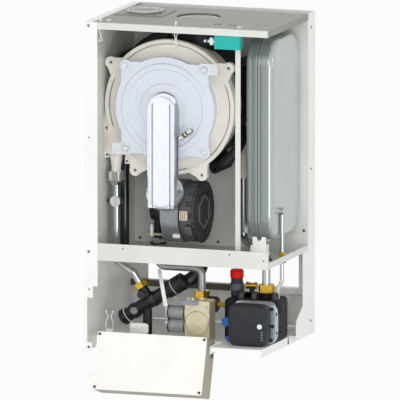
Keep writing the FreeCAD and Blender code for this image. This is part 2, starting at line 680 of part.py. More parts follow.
def zinc_brackets():
    """Two small plates over opposite door ears, each with its own screw."""
    plates = []
    for sign in ("1", "-1"):
        low = f"min({sign}*zinc_inner; {sign}*zinc_outer)"
        foot = f"min({sign}*zinc_low; {sign}*zinc_high)"
        plate = block((f"{HX} + {low}", f"{FACE_Y} - zinc_thick", f"{HZ} + {foot}"),
                      ("zinc_outer - zinc_inner", "zinc_thick", "zinc_high - zinc_low"))
        hole = rod("nut_across*nut_hole_share", "zinc_thick + 2*overrun", (f"{HX} + {sign}*door_pitch/2",
                   f"{FACE_Y} + overrun", f"{HZ} + {sign}*door_pitch/2"), "-Y")
        head = rod("zinc_head", "zinc_head", (f"{HX} + {sign}*zinc_screw", f"{FACE_Y} - zinc_thick",
                                              f"{HZ} + {sign}*door_pitch/2"), "-Y")
        plates.append(union(minus(plate, hole), head))
    finish("door_fixings", together(*plates))


def side_bar():
    left = f"({CHAMBER_LEFT} + 2*sheet)"
    width = f"({HX} - header_left - fit_gap - {left})"
    low = f"({HZ} - bar_high - bar_length)"
    rear = "(-exchanger_back - exchanger_depth + rim_width + fit_gap)"
    bar = block((left, rear, low), (width, "bar_thick", "bar_length"))
    bores = [rod("bar_bore", "bar_thick + 2*overrun", (f"{left} + {width}/2", f"{rear} - overrun", z), "Y")
             for z in (f"{low} + 2*bar_bore", f"{low} + bar_length - 10*bar_bore")]
    finish("exchanger_front_shell", minus(bar, *bores))


def electrode():
    """Ignition electrode: a slanted steel foot on the door with its ceramic and wire."""
    x, z = f"({HX} + electrode_reach)", f"({HZ} - electrode_reach)"
    foot = padded(rectangle("-electrode_length/2", "-electrode_width/2", "electrode_length/2",
                            "electrode_width/2"),
                  "electrode_thick", (x, f"{FACE_Y}", z),
                  Rotation(Vector(0, 1, 0), -cell("electrode_angle")) * TURNS["-Y"])
    soften(foot, "electrode_width*electrode_round_share", upright)
    stub = rod("ceramic_radius", "ceramic_length", (x, FACE_Y, z), "-Y")
    finish("electrode", union(foot, stub))


def manifold():
    """Half-round mixture duct from the door's middle down to the fan's tilted flange."""
    rear = f"({FACE_Y} - step_rise - fit_gap)"
    front = f"({rear} - manifold_depth)"
    half = "(manifold_width/2)"
    duct = new_body((f"{HX} - {half}", "0", "0"))
    corners = [(front, f"{FLANGE_Z} + {front} - {FLANGE_Y}"), (front, HZ), (rear, HZ),
               (rear, f"{FLANGE_Z} + {rear} - {FLANGE_Y}")]
    pad(duct, sketch(duct, [corners], plane="YZ_Plane"), "manifold_width")
    dome = rod(half, "manifold_depth", (HX, rear, HZ), "-Y")
    flare = union(rod(f"{half} + manifold_flare", "manifold_base", (HX, rear, HZ), "-Y"),
                  block((f"{HX} - {half} - manifold_flare", f"{rear} - manifold_base", f"{HZ} - step_three"),
                        ("manifold_width + 2*manifold_flare", "manifold_base", "step_three")))
    rails = [block((f"{HX} + {x}", f"{front} - rail_rise", f"{FLANGE_Z} + flange_radius"),
                   ("rail_width", "rail_rise", f"{HZ} - {FLANGE_Z} - flange_radius"))
             for x in (f"-{half}", f"{half} - rail_width")]
    crown = minus(rod(half, "rail_rise", (HX, front, HZ), "-Y"),
                  rod(f"{half} - rail_width", "rail_rise + overrun", (HX, front, HZ), "-Y"),
                  block((f"{HX} - {half}", f"{front} - rail_rise", f"{HZ} - manifold_width"),
                        ("manifold_width", "rail_rise", "manifold_width")))
    flange = rod("flange_radius", "flange_thick", along_tilt("0"), TILT)
    finish("manifold", union(duct, dome, flare, crown, flange, *rails))


def manifold_bolts():
    """Bolts either side of the duct, down into the fan's outlet flange."""
    heads = []
    for sign in ("-1", "1"):
        x, y, z = along_tilt("flange_thick")
        heads.append(rod("bolt_head", "bolt_head", (f"{HX} + {sign}*(flange_radius - bolt_head)", y, z),
                         TILT))
    finish("fixing_screws", together(*heads))


def fan():
    """Volute with its tilted outlet, scalloped motor cover and the turning wheel inside."""
    wall = "(volute_radius - volute_wall)"
    drum = spun([("inlet_radius", "0"), ("volute_radius", "0"), ("volute_radius", "volute_width"),
                 ("shaft_radius + volute_wall", "volute_width"),
                 ("shaft_radius + volute_wall", "volute_width - volute_wall"),
                 (wall, "volute_width - volute_wall"), (wall, "volute_wall"),
                 ("inlet_radius", "volute_wall")],
                (FAN_X, FAN_Y, FAN_Z), "X")
    hollow = rod(wall, "volute_width - 2*volute_wall", (f"{FAN_X} + volute_wall", FAN_Y, FAN_Z), "X")
    neck = rod("neck_radius", "neck_length", along_tilt("-neck_length"), TILT)
    mate = rod("flange_radius", "flange_thick", along_tilt("-flange_thick"), TILT)
    bore = rod("neck_radius - neck_wall", "neck_length + flange_thick", along_tilt("-neck_length"), TILT)
    clear = rod("wheel_radius + volute_wall", "volute_width",
                (f"{FAN_X} - volute_width + volute_wall", FAN_Y, FAN_Z),
                "X")
    finish("fan_volute", minus(union(drum, minus(union(neck, mate), hollow, clear)), bore))
    end = f"({FAN_X} + volute_width)"
    grip = "(shaft_radius + running_gap)"
    edge = "(scallop_radius/2)"
    cover = spun([(grip, "0"), (f"fan_cover - {edge}", "0"), ("fan_cover", edge),
                  ("fan_cover", f"fan_cover_width - {edge}"), (f"fan_cover - {edge}", "fan_cover_width"),
                  ("fan_cover*fan_ring_share", "fan_cover_width"),
                  ("fan_cover*fan_groove_share", f"fan_cover_width - {edge}"),
                  ("fan_cover*fan_groove_end_share", f"fan_cover_width - {edge}"),
                  ("fan_cover*fan_hub_share", "fan_cover_width"),
                  ("0", "fan_cover_width"), ("0", "shaft_grip + running_gap"),
                  (grip, "shaft_grip + running_gap")],
                 (end, FAN_Y, FAN_Z), "X")
    bites = []
    for k in range(int(cell("scallop_count"))):
        y, z = polar("fan_cover", f"(360*{k}/scallop_count)")
        bites.append(rod("scallop_radius", "scallop_depth",
                         (f"{end} + fan_cover_width - scallop_depth*scallop_set_share",
                                                             f"{FAN_Y} + {y}", f"{FAN_Z} + {z}"), "X"))
    finish("fan_cover", minus(cover, *bites))
    start = "(volute_width/2 - wheel_width/2)"
    reach = "(volute_width + shaft_grip)"
    hub = spun([("0", start), ("wheel_hub", start), ("wheel_hub", f"{start} + wheel_width - wheel_disc"),
                ("wheel_radius", f"{start} + wheel_width - wheel_disc"),
                ("wheel_radius", f"{start} + wheel_width"),
                ("shaft_radius", f"{start} + wheel_width"), ("shaft_radius", reach), ("0", reach)],
               (FAN_X, FAN_Y, FAN_Z), "X")
    blades = new_body((f"{FAN_X} + {start}", FAN_Y, FAN_Z), "X")
    loops = []
    for k in range(int(cell("blade_count"))):
        turn = f"(360*{k}/blade_count)"
        lean = f"({turn} + 360/blade_count/2)"
        inner, outer = "blade_root", "(wheel_radius - blade_thick)"
        loops.append([polar(inner, turn), polar(outer, lean), polar(outer, f"({lean} + 2)"),
                      polar(inner, f"({turn} + 3)")])
    pad(blades, sketch(blades, loops), "wheel_width - wheel_disc/2")
    finish("fan_impeller", union(hub, blades))


def mixer():
    """Dark funnel on the fan's inlet with the gas connection below it."""
    body = spun([("mixer_mouth", "0"), ("mixer_radius", "0"), ("mixer_radius", "mixer_length/2"),
                 ("mixer_radius*mixer_neck_share", "mixer_length"),
                 ("mixer_mouth*mixer_bore_share", "mixer_length"),
                 ("mixer_mouth*mixer_bore_share", "mixer_length/2")], (FAN_X, FAN_Y, FAN_Z), "-X")
    post = rod("gas_plate/3", "gas_drop", (GAS_UP_X, FAN_Y, f"{FAN_Z} - gas_drop - mixer_mouth"))
    throat = rod("mixer_mouth", "mixer_length + 2*overrun", (f"{FAN_X} + overrun", FAN_Y, FAN_Z), "-X")
    plate = rod("gas_plate*gas_plate_share", "gas_plate_thick",
                (GAS_UP_X, FAN_Y, f"{FAN_Z} - gas_drop - mixer_mouth"))
    finish("mixer", union(body, minus(post, throat), plate))


GAS_UP_X = f"({FAN_X} - mixer_length*gas_up_share)"


# Ignition transformer
TRANSFORMER_SIZES = {
    "box_width": 64, "box_height": 34, "box_depth": 22, "box_gap": 6, "terminal_radius": 4,
    "terminal_length": 14,
}
sizes(TRANSFORMER_SIZES)


def transformer():
    """Teal block screwed to the post under the chamber's front lip, with its two terminals on the left."""
    right = f"({POST_X} + post_width/2 + box_gap)"
    top = f"({TOP} - top_lip)"
    y = f"({POST_Y} - box_depth)"
    body = padded(rectangle("0", "0", "box_width", "box_height"), "box_depth",
                  (f"{right} - box_width", POST_Y, f"{top} - box_height"), "-Y")
    soften(body, "terminal_radius/2", upright)
    finish("transformer", body)
    stubs = [rod("terminal_radius", "terminal_length", (f"{right} - box_width", f"{y} + box_depth/2", z),
                 "-X")
             for z in (f"{top} - box_height/3", f"{top} - box_height*2/3")]
    finish("transformer", together(*stubs))


# Expansion vessel
VESSEL_SIZES = {
    "vessel_side": 17, "vessel_half": 34, "vessel_rise": 50, "vessel_back": 8, "vessel_corner": 62,
    "vessel_round": 16, "vessel_wall": 1.6, "vessel_rim": 6, "vessel_rim_half": 6, "diaphragm": 1.5,
    "valve_radius": 5, "valve_length": 9, "valve_share": 0.58, "vessel_pipe": 5, "vessel_pipe_gap": 6,
    "vessel_pipe_bend": 14, "vessel_pipe_back": 57, "vessel_port": 62, "bracket_width": 34,
    "bracket_height": 42, "bracket_thick": 3, "bracket_notch": 9, "brass_across": 16, "brass_height": 13,
    "valve_foot_share": 1.5, "bracket_notch_share": 0.6, "vessel_top": 33.6, "vessel_front": 81.6,
}
sizes(VESSEL_SIZES)
SEAM = f"({RIGHT} - vessel_side - vessel_half)"
VESSEL_Y = f"({BACK_WALL} - vessel_back - vessel_depth/2)"
VESSEL_Z = f"({DECK} + vessel_rise + vessel_height/2)"
VESSEL_FACE = f"({RIGHT} - vessel_side + diaphragm/2)"
RISER_X = f"({VESSEL_FACE} + vessel_pipe + fit_gap)"
RISER_Y = f"({VESSEL_Y} - vessel_depth/2 + vessel_pipe_back)"


def vessel_outline(grow):
    half_z, half_y = f"(vessel_height/2 + {grow})", f"(vessel_depth/2 + {grow})"
    return rectangle(f"-{half_z}", f"-{half_y}", half_z, half_y)


def vessel_shell(label, turn):
    """One pressed half: a deep rounded dish with a flat flange at the seam."""
    at = (SEAM, VESSEL_Y, VESSEL_Z)
    sign = "1" if turn == "X" else "-1"
    dish = padded(vessel_outline("0"), "vessel_half", at, turn)
    soften(dish, "vessel_corner", upright)
    soften_top(dish, "vessel_round")
    doc.recompute()
    base = dish.Tip
    mouth = [f"Face{k}" for k, face in enumerate(base.Shape.Faces, 1)
             if all(abs(v.Z) < 1e-6 for v in face.Vertexes)]
    shell = dish.newObject("PartDesign::Thickness", "thickness")
    shell.Base = (base, mouth)
    shell.Reversed = True
    bind(shell, "Value", "vessel_wall")
    start = (f"{SEAM} + {sign}*diaphragm/2", VESSEL_Y, VESSEL_Z)
    place(dish, start, turn)
    rim = padded(vessel_outline("vessel_rim"), "vessel_rim_half - diaphragm/2", start, turn)
    soften(rim, "vessel_corner + vessel_rim", upright)
    core = padded(vessel_outline("(-vessel_wall)"), "vessel_rim_half", start, turn)
    soften(core, "vessel_corner - vessel_wall", upright)
    finish(label, union(dish, minus(rim, core)))


def vessel():
    vessel_shell("vessel_left_shell", "-X")
    vessel_shell("vessel_right_shell", "X")
    skin = padded(vessel_outline("vessel_rim"), "diaphragm", (f"{SEAM} - diaphragm/2", VESSEL_Y, VESSEL_Z),
                  "X")
    soften(skin, "vessel_corner + vessel_rim", upright)
    finish("vessel_diaphragm", skin)
    stem = spun([("0", "0"), ("valve_radius*valve_foot_share", "0"),
                 ("valve_radius*valve_foot_share", "valve_length/3"),
                 ("valve_radius", "valve_length/3"), ("valve_radius", "valve_length"), ("0", "valve_length")],
                (f"{SEAM} - vessel_half - diaphragm/2", f"{VESSEL_Y} - vessel_depth/4",
                 f"{DECK} + vessel_rise + vessel_height*valve_share"), "-X")
    finish("vessel_fittings", stem)


def vessel_bracket():
    """Upright plate under the vessel's front edge with a notch for the rim, and a hook plate above."""
    y = f"({VESSEL_Y} - vessel_depth/2 - vessel_rim - fit_gap)"
    low = block((f"{SEAM} - bracket_width/2", f"{y} - bracket_thick", DECK),
                ("bracket_width", "bracket_thick", "bracket_height"))
    foot = block((f"{SEAM} - bracket_width/2", f"{y}", DECK),
                 ("bracket_width", "vessel_depth/6", "bracket_thick"))
    rest = block((f"{SEAM} - bracket_width/2", y, DECK),
                 ("bracket_width", "bracket_width", "vessel_rise - vessel_rim - fit_gap"))
    notch = block((f"{SEAM} - bracket_notch", f"{y} - bracket_thick - overrun",
                   f"{DECK} + bracket_height*bracket_notch_share"),
                  ("2*bracket_notch", "bracket_thick + 2*overrun", "bracket_height"))
    top = f"({VESSEL_Z} + vessel_height/2 + vessel_rim + fit_gap)"
    hook = block((f"{SEAM} - bracket_width/2", f"{VESSEL_Y} - vessel_depth/4", top),
                 ("bracket_width", "bracket_width", f"{CEILING} - {top}"))
    finish("vessel_brackets", union(minus(low, notch), foot, rest))
    finish("vessel_brackets", hook)


# Pipes between the exchanger and the water block
PIPE_SIZES = {
    "flow_front": 19, "funnel_top": 15.5, "funnel_end": 11.5, "funnel_height": 44, "clip_height": 22,
    "clip_width": 30, "flow_radius": 9, "pipe_wall": 1, "pipe_bend": 12, "flow_dip": 14,
    "sensor_drop": 50, "sensor_radius": 13, "sensor_width": 16, "drain_radius": 11, "drain_back": 79,
    "grommet_wall": 2.2, "grommet_rise": 4, "return_top": 180, "return_radius": 10, "return_bend": 22,
    "return_level": 25, "union_across": 34, "union_height": 19, "man_z": 113, "man_angle": 32.5,
    "man_radius": 16.5, "man_length": 134, "man_ring": 20, "man_ring_width": 7, "man_cap": 12,
    "branch_along": 8, "branch_out": 38, "branch_radius": 13, "nut_pass": 14, "leg_along": 1,
    "leg_radius": 11, "port_radius": 8.5, "port_depth": 16, "cup_radius": 15, "cup_height": 35,
    "diverter_radius": 20, "diverter_length": 46, "diverter_rib": 2, "plug_radius": 7, "plug_rise": 5,
    "funnel_neck_share": 0.8, "sensor_band_share": 1.5, "small_union_share": 0.9, "gas_union_share": 0.8,
    "man_cap_share": 0.7, "diverter_end_share": 0.85, "diverter_tip_share": 0.7, "cup_side_share": 0.8,
    "cup_top_share": 0.7, "rib_start_share": 1/12, "flow_step": 9, "return_step": 19, "return_inset": 46,
    "man_left": 130, "cup_left": 103,
}
sizes(PIPE_SIZES)
DIVERTER_RIBS = 4
FLOW_X = f"({HX} - flow_side)"
FLOW_Y = "(-exchanger_back - exchanger_depth + flow_front)"
HEADER_LOW = f"({HZ} - header_low)"
DRAIN_Y = f"({FLOW_Y} + drain_back - flow_front)"
CLIP_TOP = f"({HEADER_LOW} - funnel_height)"
LEAN = Rotation(Vector(0, 1, 0), 90 - cell("man_angle"))
ACROSS = Rotation(Vector(0, 1, 0), -cell("man_angle"))


def man(along, out):
    """A point of the sloping flow manifold, by distance along its axis and out towards its branch."""
    return (f"-man_x + ({along})*cos(man_angle) - ({out})*sin(man_angle)", FLOW_Y,
            f"{BASE} + man_z + ({along})*sin(man_angle) + ({out})*cos(man_angle)")


def flow_line():
    """Coupling under the exchanger's header, its clip, the flow pipe and the sensor on it."""
    funnel = spun([("flow_radius", "0"), ("funnel_end", "0"), ("funnel_end", "funnel_height/4"),
                   ("funnel_top", "funnel_height*funnel_neck_share"), ("funnel_top", "funnel_height"),
                   ("flow_radius", "funnel_height")], (FLOW_X, FLOW_Y, CLIP_TOP))
    finish("pipe_couplings", funnel)
    low = f"({CLIP_TOP} - clip_height)"
    nut = minus(block((f"{FLOW_X} - clip_width/2", f"{FLOW_Y} - clip_width/2", low),
                      ("clip_width", "clip_width", "clip_height")),
                rod("flow_radius + running_gap", "clip_height + 2*overrun",
                    (FLOW_X, FLOW_Y, f"{low} - overrun")))
    finish("pipe_couplings", nut)
    end = "(branch_out + nut_pass)"
    route = [(FLOW_X, FLOW_Y, CLIP_TOP), (FLOW_X, FLOW_Y, f"{FLOOR} - flow_dip"),
             man("branch_along", f"{end} + 2*nut_pass"), man("branch_along", "branch_out")]
    finish("water_pipes", pipe(route, "flow_radius", "pipe_bend", "pipe_wall"))
    z = f"({low} - sensor_drop)"
    clamp = minus(rod("sensor_radius", "sensor_width", (FLOW_X, f"{FLOW_Y} + sensor_width/3", z), "-Y"),
                  rod("flow_radius + running_gap", "3*sensor_radius",
                      (FLOW_X, FLOW_Y, f"{z} - sensor_band_share*sensor_radius")))
    finish("flow_sensor", clamp)
    drain = rod("drain_radius", f"{HEADER_LOW} - {DECK}", (FLOW_X, DRAIN_Y, DECK))
    finish("water_pipes", drain)


def return_line():
    top = f"({BASE} + tray_level + return_top)"
    port = minus(rod("return_radius + 4*pipe_wall", f"{HZ} - {top}", ("return_x", "-return_y", top)),
                 rod("shell_radius + fit_gap", "exchanger_depth", (HX, "0", HZ), "-Y"))
    finish("pipe_couplings", port)
    level = f"({DECK} + return_level)"
    route = [("return_x", "-return_y", top), ("return_x", "-return_y", level), (RETURN_X, RETURN_Y, level),
             (RETURN_X, RETURN_Y, RETURN_NUT)]
    finish("water_pipes", pipe(route, "return_radius", "return_bend", "pipe_wall"))


def union_nuts():
    """Brass nuts on the flow branch, the return, the gas outlet and the vessel's riser."""
    flow = hexagon("union_across*small_union_share", "nut_pass", man("branch_along", "branch_out"), ACROSS,
                   "flow_radius + running_gap")
    back = hexagon("union_across", "union_height", (RETURN_X, RETURN_Y, RETURN_NUT),
                   bore="return_radius + running_gap")
    gas = hexagon("union_across", "union_height*gas_union_share", (VALVE_X, VALVE_Y, VALVE_TOP),
                  bore="gas_radius + running_gap")
    riser = hexagon("brass_across", "brass_height", (RISER_X, RISER_Y, f"{DECK} + 2*grommet_rise"),
                    bore="vessel_pipe + running_gap")
    finish("union_nuts", together(flow, back, gas, riser))


def flow_manifold():
    """Sloping tube with ringed ends, a branch for the flow pipe and a leg down to its port in the shelf."""
    half = "(man_length/2)"
    tube = spun([("0", "0"), ("man_ring", "0"), ("man_ring", "man_ring_width"),
                 ("man_radius", "man_ring_width"),
                 ("man_radius", "man_length - man_ring_width"), ("man_ring", "man_length - man_ring_width"),
                 ("man_ring", "man_length"), ("0", "man_length")], man(f"-{half}", "0"), LEAN)
    branch = rod("branch_radius", "branch_out", man("branch_along", "0"), ACROSS)
    x, y, z = man("-leg_along", "0")
    leg = rod("leg_radius", f"{z} - {SHELF}", (x, y, SHELF))
    port = rod("port_radius", "port_depth + overrun", (x, y, f"{SHELF} - overrun"))
    finish("flow_manifold", minus(union(tube, branch, leg), port))
    cap = spun([("0", "0"), ("man_ring*man_cap_share", "0"), ("man_ring", "man_cap/2"),
                ("man_ring", "man_cap"),
                ("0", "man_cap")], man(f"-{half} - man_cap - fit_gap", "0"), LEAN)
    finish("flow_manifold", cap)
    plug = rod("plug_radius", "plug_rise", (man("-man_length/4", "0")[0], f"{FLOW_Y} - man_radius",
                                            man("-man_length/4", "0")[2]), "-Y")
    finish("flow_manifold", plug)
    steps = [("0", "0"), ("diverter_radius", "0")]
    for k in range(DIVERTER_RIBS):
        low = f"(diverter_length*({k}/({DIVERTER_RIBS} + 1) + rib_start_share))"
        high = f"(diverter_length*({k}/({DIVERTER_RIBS} + 1) + 2*rib_start_share))"
        steps += [("diverter_radius", low), ("diverter_radius - diverter_rib", low),
                  ("diverter_radius - diverter_rib", high), ("diverter_radius", high)]
    steps += [("diverter_radius", "diverter_length*diverter_end_share"),
              ("diverter_radius*diverter_tip_share", "diverter_length"),
              ("0", "diverter_length")]
    finish("diverter_motor", spun(steps, man(f"{half} + fit_gap", "0"), LEAN))
    dome = spun([("0", "0"), ("cup_radius", "0"), ("cup_radius", "cup_height*cup_side_share"),
                 ("cup_radius*cup_top_share", "cup_height"),
                 ("0", "cup_height")], ("-cup_x", FLOW_Y, SHELF))
    finish("trap_cup", dome)


# Gas line
GAS_SIZES = {
    "gas_radius": 9.5, "gas_bend": 19, "gas_level": 23.5, "valve_left": 32, "valve_width": 62,
    "valve_height": 96, "valve_front": 78, "valve_depth": 44, "cover_radius": 30, "cover_rise": 6,
    "cover_level": 43, "coil_reach": 40, "coil_body": 16.2, "coil_low": 30, "coil_high": 63,
    "tap_radius": 3.5, "gas_port": 10.5, "gas_neck_share": 1.3, "cover_top_share": 0.9,
    "valve_place": 260, "valve_room": 60,
}
sizes(GAS_SIZES)
VALVE_X = "valve_x"
VALVE_Y = FAN_Y
VALVE_TOP = f"({SHELF} + valve_height + cover_rise)"
VALVE_FACE = f"({FRONT} + valve_front)"


def gas_line():
    """Valve block on the shelf with its round cover, two solenoids and the pipe up to the mixer."""
    body = padded(rectangle("0", "0", "valve_width", "valve_height"), "valve_depth",
                  (f"{VALVE_X} - valve_left", f"{VALVE_FACE} + valve_depth", SHELF), "-Y")
    soften(body, "tap_radius", upright)
    neck = rod("gas_radius*gas_neck_share", "cover_rise + tap_radius",
               (VALVE_X, VALVE_Y, f"{VALVE_TOP} - cover_rise - tap_radius"))
    taps = [rod("tap_radius", "cover_rise",
                (f"{VALVE_X} - valve_left/2 - {k}*3*tap_radius", f"{VALVE_FACE} + valve_depth/4",
                                             f"{VALVE_TOP} - cover_rise")) for k in ("0", "1")]
    inlet = rod("gas_port", "port_depth + overrun", (VALVE_X, VALVE_Y, f"{SHELF} - overrun"))
    bore = rod("gas_radius + running_gap", "cover_rise + overrun",
               (VALVE_X, VALVE_Y, f"{VALVE_TOP} - cover_rise/2"))
    finish("gas_valve", minus(union(body, neck, *taps), inlet, bore))
    disc = spun([("0", "0"), ("cover_radius", "0"), ("cover_radius", "cover_rise/2"),
                 ("cover_radius*cover_top_share", "cover_rise"), ("0", "cover_rise")],
                (VALVE_X, VALVE_FACE, f"{SHELF} + cover_level"), "-Y")
    finish("gas_valve", disc)
    coils = [rod("coil_body", "coil_reach", (f"{VALVE_X} - valve_left", f"{VALVE_FACE} + valve_depth/2",
                                             f"{SHELF} + {z}"), "-X") for z in ("coil_low", "coil_high")]
    finish("gas_solenoids", together(*coils))
    run = f"({FLOOR} - gas_level)"
    route = [(VALVE_X, VALVE_Y, f"{VALVE_TOP} - cover_rise/2"), (VALVE_X, VALVE_Y, run),
             (GAS_UP_X, VALVE_Y, run),
             (GAS_UP_X, VALVE_Y, f"{FAN_Z} - gas_drop - mixer_mouth")]
    finish("gas_pipe", pipe(route, "gas_radius", "gas_bend", "pipe_wall"))


# Pump and water block
PUMP_SIZES = {
    "pump_side": 63.5, "pump_face": 32, "head_width": 100, "head_height": 101, "head_depth": 32,
    "head_notch": 16, "head_corner": 4, "motor_depth": 41, "motor_radius": 46, "motor_corner": 40,
    "block_left": 144, "block_right": 10, "block_height": 104, "block_depth": 72, "block_corner": 12,
    "wheel_bore": 30, "wheel_span": 18, "rotor_radius": 27, "rotor_width": 12, "spindle_radius": 4,
    "spindle_length": 20, "button_radius": 6, "button_side": 33, "button_rise": 2, "button_travel": 1.5,
    "return_side": 49, "return_back": 42, "stub_height": 14, "vent_side": 127, "vent_back": 40,
    "vent_radius": 14.5, "vent_height": 44, "cap_radius": 16.4, "cap_height": 19, "cap_stem": 5,
    "knob_side": 134, "knob_rise": 48, "knob_radius": 11.5, "knob_length": 14, "drain_side": 128,
    "drain_rise": 9, "drain_knob": 7, "stem_radius": 4, "stem_length": 8, "sensor_body": 19,
    "sensor_long": 24, "sensor_reach": 34, "sensor_stem": 6, "sensor_rise": 84, "vane_root_share": 2.4,
    "vane_tip_share": 0.95, "vane_width_share": 0.9, "cap_side_share": 0.8, "cap_top_share": 0.85,
    "cap_grip_share": 0.6, "knob_side_share": 0.8, "knob_top_share": 0.8, "knob_grip_share": 0.6,
    "sensor_neck_share": 0.9, "riser_turn_share": 1.2, "vane_sweep_angle": 30, "vane_end_angle": 34,
    "vane_root_angle": 12,
}
sizes(PUMP_SIZES)
VANES = 7
PUMP_X = f"({RIGHT} - pump_side)"
PUMP_Z = f"({SHELF} + head_height/2 + fit_gap)"
PUMP_FACE = f"({FRONT} + pump_face)"
MOTOR_Y = f"({PUMP_FACE} + head_depth)"
BLOCK_Y = f"({MOTOR_Y} + motor_depth)"
BLOCK_LEFT = f"({RIGHT} - block_left)"
BLOCK_TOP = f"({SHELF} + block_height)"
RETURN_X = f"({RIGHT} - return_side)"
RETURN_Y = f"({BLOCK_Y} + return_back - block_corner)"
RETURN_NUT = f"({BLOCK_TOP} + stub_height)"
BUTTON_X = f"({PUMP_X} + button_side)"


def pump_head():
    """Square control head with notched corners and a round pit for its button."""
    w, h, n = "head_width/2", "head_height/2", "head_notch"
    corners = []
    for i, j in (("1", "1"), ("-1", "1"), ("-1", "-1"), ("1", "-1")):
        x, y = f"{i}*({w})", f"{j}*({h})"
        side = (x, f"{j}*({h} - {n})")
        inner = (f"{i}*({w} - {n}/2)", f"{j}*({h} - {n})")
        deep = (f"{i}*({w} - {n}/2)", y)
        corners += [side, inner, deep] if i == j else [deep, inner, side]
    body = padded(corners, "head_depth", (PUMP_X, MOTOR_Y, PUMP_Z), "-Y")
    soften_top(body, "head_corner/2")
    pit = rod("button_radius + fit_gap", "button_travel + button_rise + fit_gap",
              (BUTTON_X, f"{PUMP_FACE} + button_travel + button_rise + fit_gap",
                                                                       PUMP_Z), "-Y")
    finish("pump_head", minus(body, pit))
    button = rod("button_radius", "2*button_rise", (BUTTON_X, f"{PUMP_FACE} + button_rise", PUMP_Z), "-Y")
    finish("pump_button", button)


def pump_motor():
    """Cast motor can with a square bolted flange, bored for the rotor's spindle."""
    can = rod("motor_radius", "motor_depth", (PUMP_X, BLOCK_Y, PUMP_Z), "-Y")
    flange = padded(rectangle("-head_width/2", "-head_height/2 + fit_gap", "head_width/2", "head_height/2"),
                    "motor_depth/3", (PUMP_X, BLOCK_Y, PUMP_Z), "-Y")
    soften(flange, "block_corner", upright)
    heads = [rod("bolt_head", "bolt_head", (f"{PUMP_X} + {i}*motor_corner", f"{BLOCK_Y} - motor_depth/3",
                                            f"{PUMP_Z} + {j}*motor_corner"), "-Y")
             for i in ("-1", "1") for j in ("-1", "1")]
    bore = rod("spindle_radius + running_gap", "spindle_length + running_gap", (PUMP_X, BLOCK_Y, PUMP_Z),
               "-Y")
    finish("pump_motor", minus(union(can, flange, *heads), bore))


def water_block():
    """Black block on the shelf: the rotor's chamber, the return stub and the seats of the fittings on it."""
    body = padded(rectangle("0", "0", "block_left - block_right", "block_height"), "block_depth",
                  (BLOCK_LEFT, f"{BLOCK_Y} + block_depth", SHELF), "-Y")
    soften(body, "block_corner", upright)
    stub = rod("return_radius + 3*pipe_wall", "stub_height", (RETURN_X, RETURN_Y, BLOCK_TOP))
    chamber = rod("wheel_bore", "wheel_span", (PUMP_X, BLOCK_Y, PUMP_Z), "Y")
    duct = rod("return_radius - pipe_wall", f"{RETURN_NUT} - {PUMP_Z} + overrun",
               (RETURN_X, RETURN_Y, PUMP_Z))
    port = rod("gas_port", "port_depth + overrun", (PORT_X, RETURN_Y, f"{SHELF} - overrun"))
    finish("water_block", minus(union(body, stub), chamber, duct, port))
    start = "(wheel_span/2 - rotor_width/2)"
    wheel = spun([("0", "-spindle_length"), ("spindle_radius", "-spindle_length"), ("spindle_radius", start),
                  ("rotor_radius", start), ("rotor_radius", f"{start} + rotor_width/6"),
                  ("spindle_radius*2", f"{start} + rotor_width/6"),
                  ("spindle_radius*2", f"{start} + rotor_width"),
                  ("0", f"{start} + rotor_width")], (PUMP_X, BLOCK_Y, PUMP_Z), "Y")
    vanes = new_body((PUMP_X, f"{BLOCK_Y} + {start}", PUMP_Z), "Y")
    loops = []
    for k in range(VANES):
        turn = f"(360*{k}/{VANES})"
        loops.append([polar("spindle_radius*vane_root_share", turn),
                      polar("rotor_radius*vane_tip_share", f"({turn} + vane_sweep_angle)"),
                      polar("rotor_radius*vane_tip_share", f"({turn} + vane_end_angle)"),
                      polar("spindle_radius*vane_root_share", f"({turn} + vane_root_angle)")])
    pad(vanes, sketch(vanes, loops), "rotor_width*vane_width_share")
    finish("pump_rotor", union(wheel, vanes))


PORT_X = f"({BLOCK_LEFT} + block_corner + 2*gas_port)"


